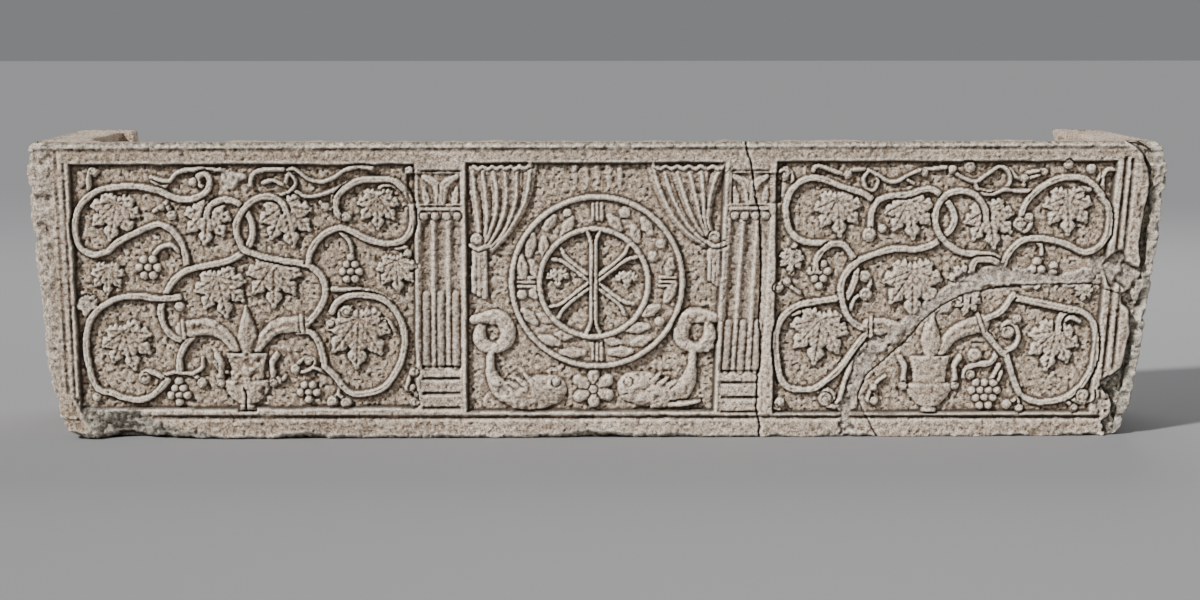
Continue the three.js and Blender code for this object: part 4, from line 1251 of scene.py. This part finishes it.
def inner_ring(x, y, z):
    """Plan of the hollow beside each point of the outer plan, at height z."""
    inset = WALL + INNER_DRAFT * (1 - (z - FLOOR) / (HEIGHT - FLOOR))
    back = BACK_LEFT - (BACK_LEFT - BACK_RIGHT) * (x + HALF_LENGTH) / (2 * HALF_LENGTH)
    t = (y + HALF_DEPTH) / (back + HALF_DEPTH)
    corner = HALF_LENGTH - WALL - 10
    share = np.interp(np.abs(x), [0, 930, 985, HALF_LENGTH], [0, corner - 26, corner, corner + 10])
    share = share - (inset - WALL) * smooth_step(700, 960, np.abs(x))
    return np.sign(x) * share, inset - HALF_DEPTH + t * (back + HALF_DEPTH - 2 * inset)


def tool_marks(x, y, z):
    """Slanting strokes left by the mason's point on the plain faces."""
    phase = (x + y) * 0.5 + z * 0.8 + 14 * value_noise(x, y, z, 120, 66)
    return 0.9 * np.sin(phase / 5.2) * smooth_step(-0.2, 0.5, value_noise(x, y, z, 160, 67))


# ---- materials ----
WHITE = (1.0, 1.0, 1.0)
# broad colour of the stone, its grains and its stains: place along the noise, colour
BASE_STOPS = [(0.30, (0.38, 0.297, 0.222)), (0.5, (0.52, 0.425, 0.333)), (0.72, (0.66, 0.563, 0.458))]
COARSE_STOPS = [(0.36, (0.42, 0.38, 0.35)), (0.48, WHITE), (0.66, (1.3, 1.3, 1.29))]
FINE_STOPS = [(0.38, (0.30, 0.27, 0.24)), (0.5, WHITE), (0.62, (1.55, 1.55, 1.53))]
STAIN_STOPS = [(0.36, (0.74, 0.73, 0.73)), (0.6, WHITE)]
CLEAN_TINT = (1.30, 1.28, 1.28)
PATINA_TINT = (0.93, 0.87, 0.82)
# grained colours laid over the stone where a mask is set: colour, greatest share
GROUND_COLOUR = (0.46, 0.358, 0.265), 0.7
MORTAR_COLOUR = (0.50, 0.44, 0.375), 0.8
# the broken stone's colour, also laid on as painted shade on the set-back right corner and the right end
BROKEN_AND_SHADE_COLOUR = (0.40, 0.37, 0.305), 1.0
PALE_COLOUR = (0.57, 0.50, 0.42), 0.8
# painted highlight on ridges, painted shade in hollows, and painted shade along channels and cuts that also
# darkens cracks
RIDGE_HIGHLIGHT_COLOUR = (1.0, 0.9, 0.75)
CAVITY_SHADE_COLOUR = (0.075, 0.055, 0.04)
SHADE_AND_CRACK_COLOUR = (0.05, 0.037, 0.028)


class StoneNodes:
    """Short ways to add the nodes of a material and join them."""

    def __init__(self, material):
        self.nodes, self.links = material.node_tree.nodes, material.node_tree.links
        self.nodes.clear()
        self.place = self.nodes.new("ShaderNodeTexCoord").outputs["Object"]

    def noise(self, scale, detail, rough=0.6):
        node = self.nodes.new("ShaderNodeTexNoise")
        node.inputs["Scale"].default_value = scale
        node.inputs["Detail"].default_value = detail
        node.inputs["Roughness"].default_value = rough
        self.links.new(self.place, node.inputs["Vector"])
        return node.outputs["Fac"]

    def ramp(self, source, stops):
        node = self.nodes.new("ShaderNodeValToRGB")
        elements = node.color_ramp.elements
        for element, (position, colour) in zip((elements[0], elements[1]), (stops[0], stops[-1])):
            element.position = position
            element.color = (*colour, 1)
        for position, colour in stops[1:-1]:
            elements.new(position).color = (*colour, 1)
        self.links.new(source, node.inputs["Fac"])
        return node.outputs["Color"]

    def mix(self, factor, a, b, blend="MIX"):
        """A mix of two colours. Each input is a socket, or a value of its own."""
        node = self.nodes.new("ShaderNodeMix")
        node.data_type = "RGBA"
        node.blend_type = blend
        for socket, value in ((node.inputs[0], factor), (node.inputs[6], a), (node.inputs[7], b)):
            if isinstance(value, (int, float)):
                socket.default_value = value
            elif isinstance(value, tuple):
                socket.default_value = (*value, 1)
            else:
                self.links.new(value, socket)
        return node.outputs[2]

    def tint(self, colour, by):
        return self.mix(1.0, colour, by, "MULTIPLY")

    def times(self, value, factor):
        node = self.nodes.new("ShaderNodeMath")
        node.operation = "MULTIPLY"
        node.inputs[1].default_value = factor
        self.links.new(value, node.inputs[0])
        return node.outputs[0]

    def mask(self, name):
        """The four values of one of the stone masks."""
        node = self.nodes.new("ShaderNodeAttribute")
        node.attribute_name = name
        split = self.nodes.new("ShaderNodeSeparateColor")
        self.links.new(node.outputs["Color"], split.inputs["Color"])
        return split.outputs["Red"], split.outputs["Green"], split.outputs["Blue"], node.outputs["Alpha"]


def stone_colour(add):
    """Grained stone, coloured over by the masks from the broadest to the finest, then painted highlights on
    ridges and painted shade in hollows and channels, with darker cracks.
    """
    gap, mortar, broken_and_shade, pale = add.mask("stone_damage")
    ridge, cavity, ground, patina = add.mask("stone_wear_and_painted_light")
    coarse = add.ramp(add.noise(120, 5, 0.8), COARSE_STOPS)
    fine = add.ramp(add.noise(300, 3, 0.8), FINE_STOPS)
    grains = add.tint(coarse, fine)
    colour = add.tint(add.ramp(add.noise(6, 6), BASE_STOPS), grains)
    colour = add.mix(0.85, colour, add.ramp(add.noise(2.6, 6, 0.7), STAIN_STOPS), "MULTIPLY")
    colour = add.mix(patina, add.tint(colour, CLEAN_TINT), add.tint(colour, PATINA_TINT))
    layers = ((ground, GROUND_COLOUR), (mortar, MORTAR_COLOUR), (broken_and_shade, BROKEN_AND_SHADE_COLOUR), (pale, PALE_COLOUR))
    for value, (layer_colour, share) in layers:
        colour = add.mix(add.times(value, share), colour, add.tint(layer_colour, grains))
    # painted highlight on ridges, painted shade in hollows, then painted shade in channels and cuts together
    # with the darker cracks
    colour = add.mix(add.times(ridge, 0.8), colour, add.mix(0.5, RIDGE_HIGHLIGHT_COLOUR, grains, "MULTIPLY"))
    colour = add.mix(add.times(cavity, 0.92), colour, CAVITY_SHADE_COLOUR)
    return add.mix(add.times(gap, 0.8), colour, SHADE_AND_CRACK_COLOUR)


def stone_material():
    """Matt, coarse-grained stone."""
    material = bpy.data.materials.new("stone")
    material.use_nodes = True
    add = StoneNodes(material)
    out = add.nodes.new("ShaderNodeOutputMaterial")
    shader = add.nodes.new("ShaderNodeBsdfPrincipled")
    shader.inputs["Roughness"].default_value = 0.93
    shader.inputs["Specular IOR Level"].default_value = 0.25
    bump = add.nodes.new("ShaderNodeBump")
    bump.inputs["Strength"].default_value = 1.0
    bump.inputs["Distance"].default_value = 0.0028
    add.links.new(add.noise(210, 5, 0.8), bump.inputs["Height"])
    add.links.new(bump.outputs["Normal"], shader.inputs["Normal"])
    add.links.new(stone_colour(add), shader.inputs["Base Color"])
    add.links.new(shader.outputs["BSDF"], out.inputs["Surface"])
    return material


def plain_material(name, colour):
    """A matt material of one colour."""
    material = bpy.data.materials.new(name)
    material.use_nodes = True
    shader = material.node_tree.nodes["Principled BSDF"]
    shader.inputs["Base Color"].default_value = (*colour, 1)
    shader.inputs["Roughness"].default_value = 0.8
    return material


# ---- stage ----
# metres and watts from here on
FLOOR_SIZE = 40.0           # from the middle to each edge
FLOOR_DROP = 0.0005         # the floor lies this far under the stone
FLOOR_COLOUR = (0.27, 0.27, 0.275)
MIDDLE = (0.0, 0.0, 0.3)    # what the soft lights point at
SOFT_LIGHT_SIZE = 3.0
KEY_WIDTH = 6.0             # degrees across the sun, which softens its shadows
CAMERA_PLACE = (-0.1362, -5.186, 0.79)
CAMERA_TILT = 0.1211        # radians down from level
CAMERA_TURN = 0.0274        # radians to the right
WORLD_COLOUR = (0.62, 0.63, 0.65)


def floor():
    """A wide plain floor, just clear of the stone."""
    x, y, z = FLOOR_SIZE, FLOOR_SIZE, -FLOOR_DROP
    mesh = bpy.data.meshes.new("floor")
    mesh.from_pydata([(-x, -y, z), (x, -y, z), (x, y, z), (-x, y, z)], [], [(0, 1, 2, 3)])
    mesh.materials.append(plain_material("floor", FLOOR_COLOUR))
    return placed("floor", mesh)


def soft_light(name, place, watts):
    """A large square lamp that points at the middle of the stone."""
    lamp = bpy.data.lights.new(name, "AREA")
    lamp.size = SOFT_LIGHT_SIZE
    lamp.energy = watts
    obj = placed(name, lamp)
    obj.location = place
    obj.rotation_euler = (Vector(MIDDLE) - Vector(place)).to_track_quat("-Z", "Y").to_euler()
    return obj


def sun_light(name, towards, strength):
    """A broad distant light that shines from the given direction."""
    lamp = bpy.data.lights.new(name, "SUN")
    lamp.angle = math.radians(KEY_WIDTH)
    lamp.energy = strength
    obj = placed(name, lamp)
    obj.rotation_euler = Vector(towards).to_track_quat("Z", "Y").to_euler()
    return obj


def camera():
    """A long lens, a little above the rim and turned slightly to the right."""
    data = bpy.data.cameras.new("camera")
    data.sensor_width = 36.0
    data.lens = 79.5
    data.shift_y = 0.0304
    obj = placed("camera", data)
    obj.location = CAMERA_PLACE
    obj.rotation_euler = Euler((math.pi / 2 - CAMERA_TILT, 0.0, -CAMERA_TURN), "XYZ")
    bpy.context.scene.camera = obj
    return obj


def world_light():
    """Even light from all round."""
    world = bpy.data.worlds.new("world")
    world.use_nodes = True
    background = world.node_tree.nodes["Background"]
    background.inputs["Color"].default_value = (*WORLD_COLOUR, 1)
    background.inputs["Strength"].default_value = 0.35
    bpy.context.scene.world = world


stone = stone_material()
pieces = front_pieces(stone) + [block_piece(stone)]
for piece in pieces:
    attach(piece, "root")
    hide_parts("trough")

stage = [floor(), camera()]
stage.append(sun_light("key", (-0.58, -0.56, 0.59), 5.0))
stage.append(soft_light("fill", (2.8, -4.4, 1.6), 14))
stage.append(soft_light("back", (0.8, 3.5, 3.4), 110))
world_light()

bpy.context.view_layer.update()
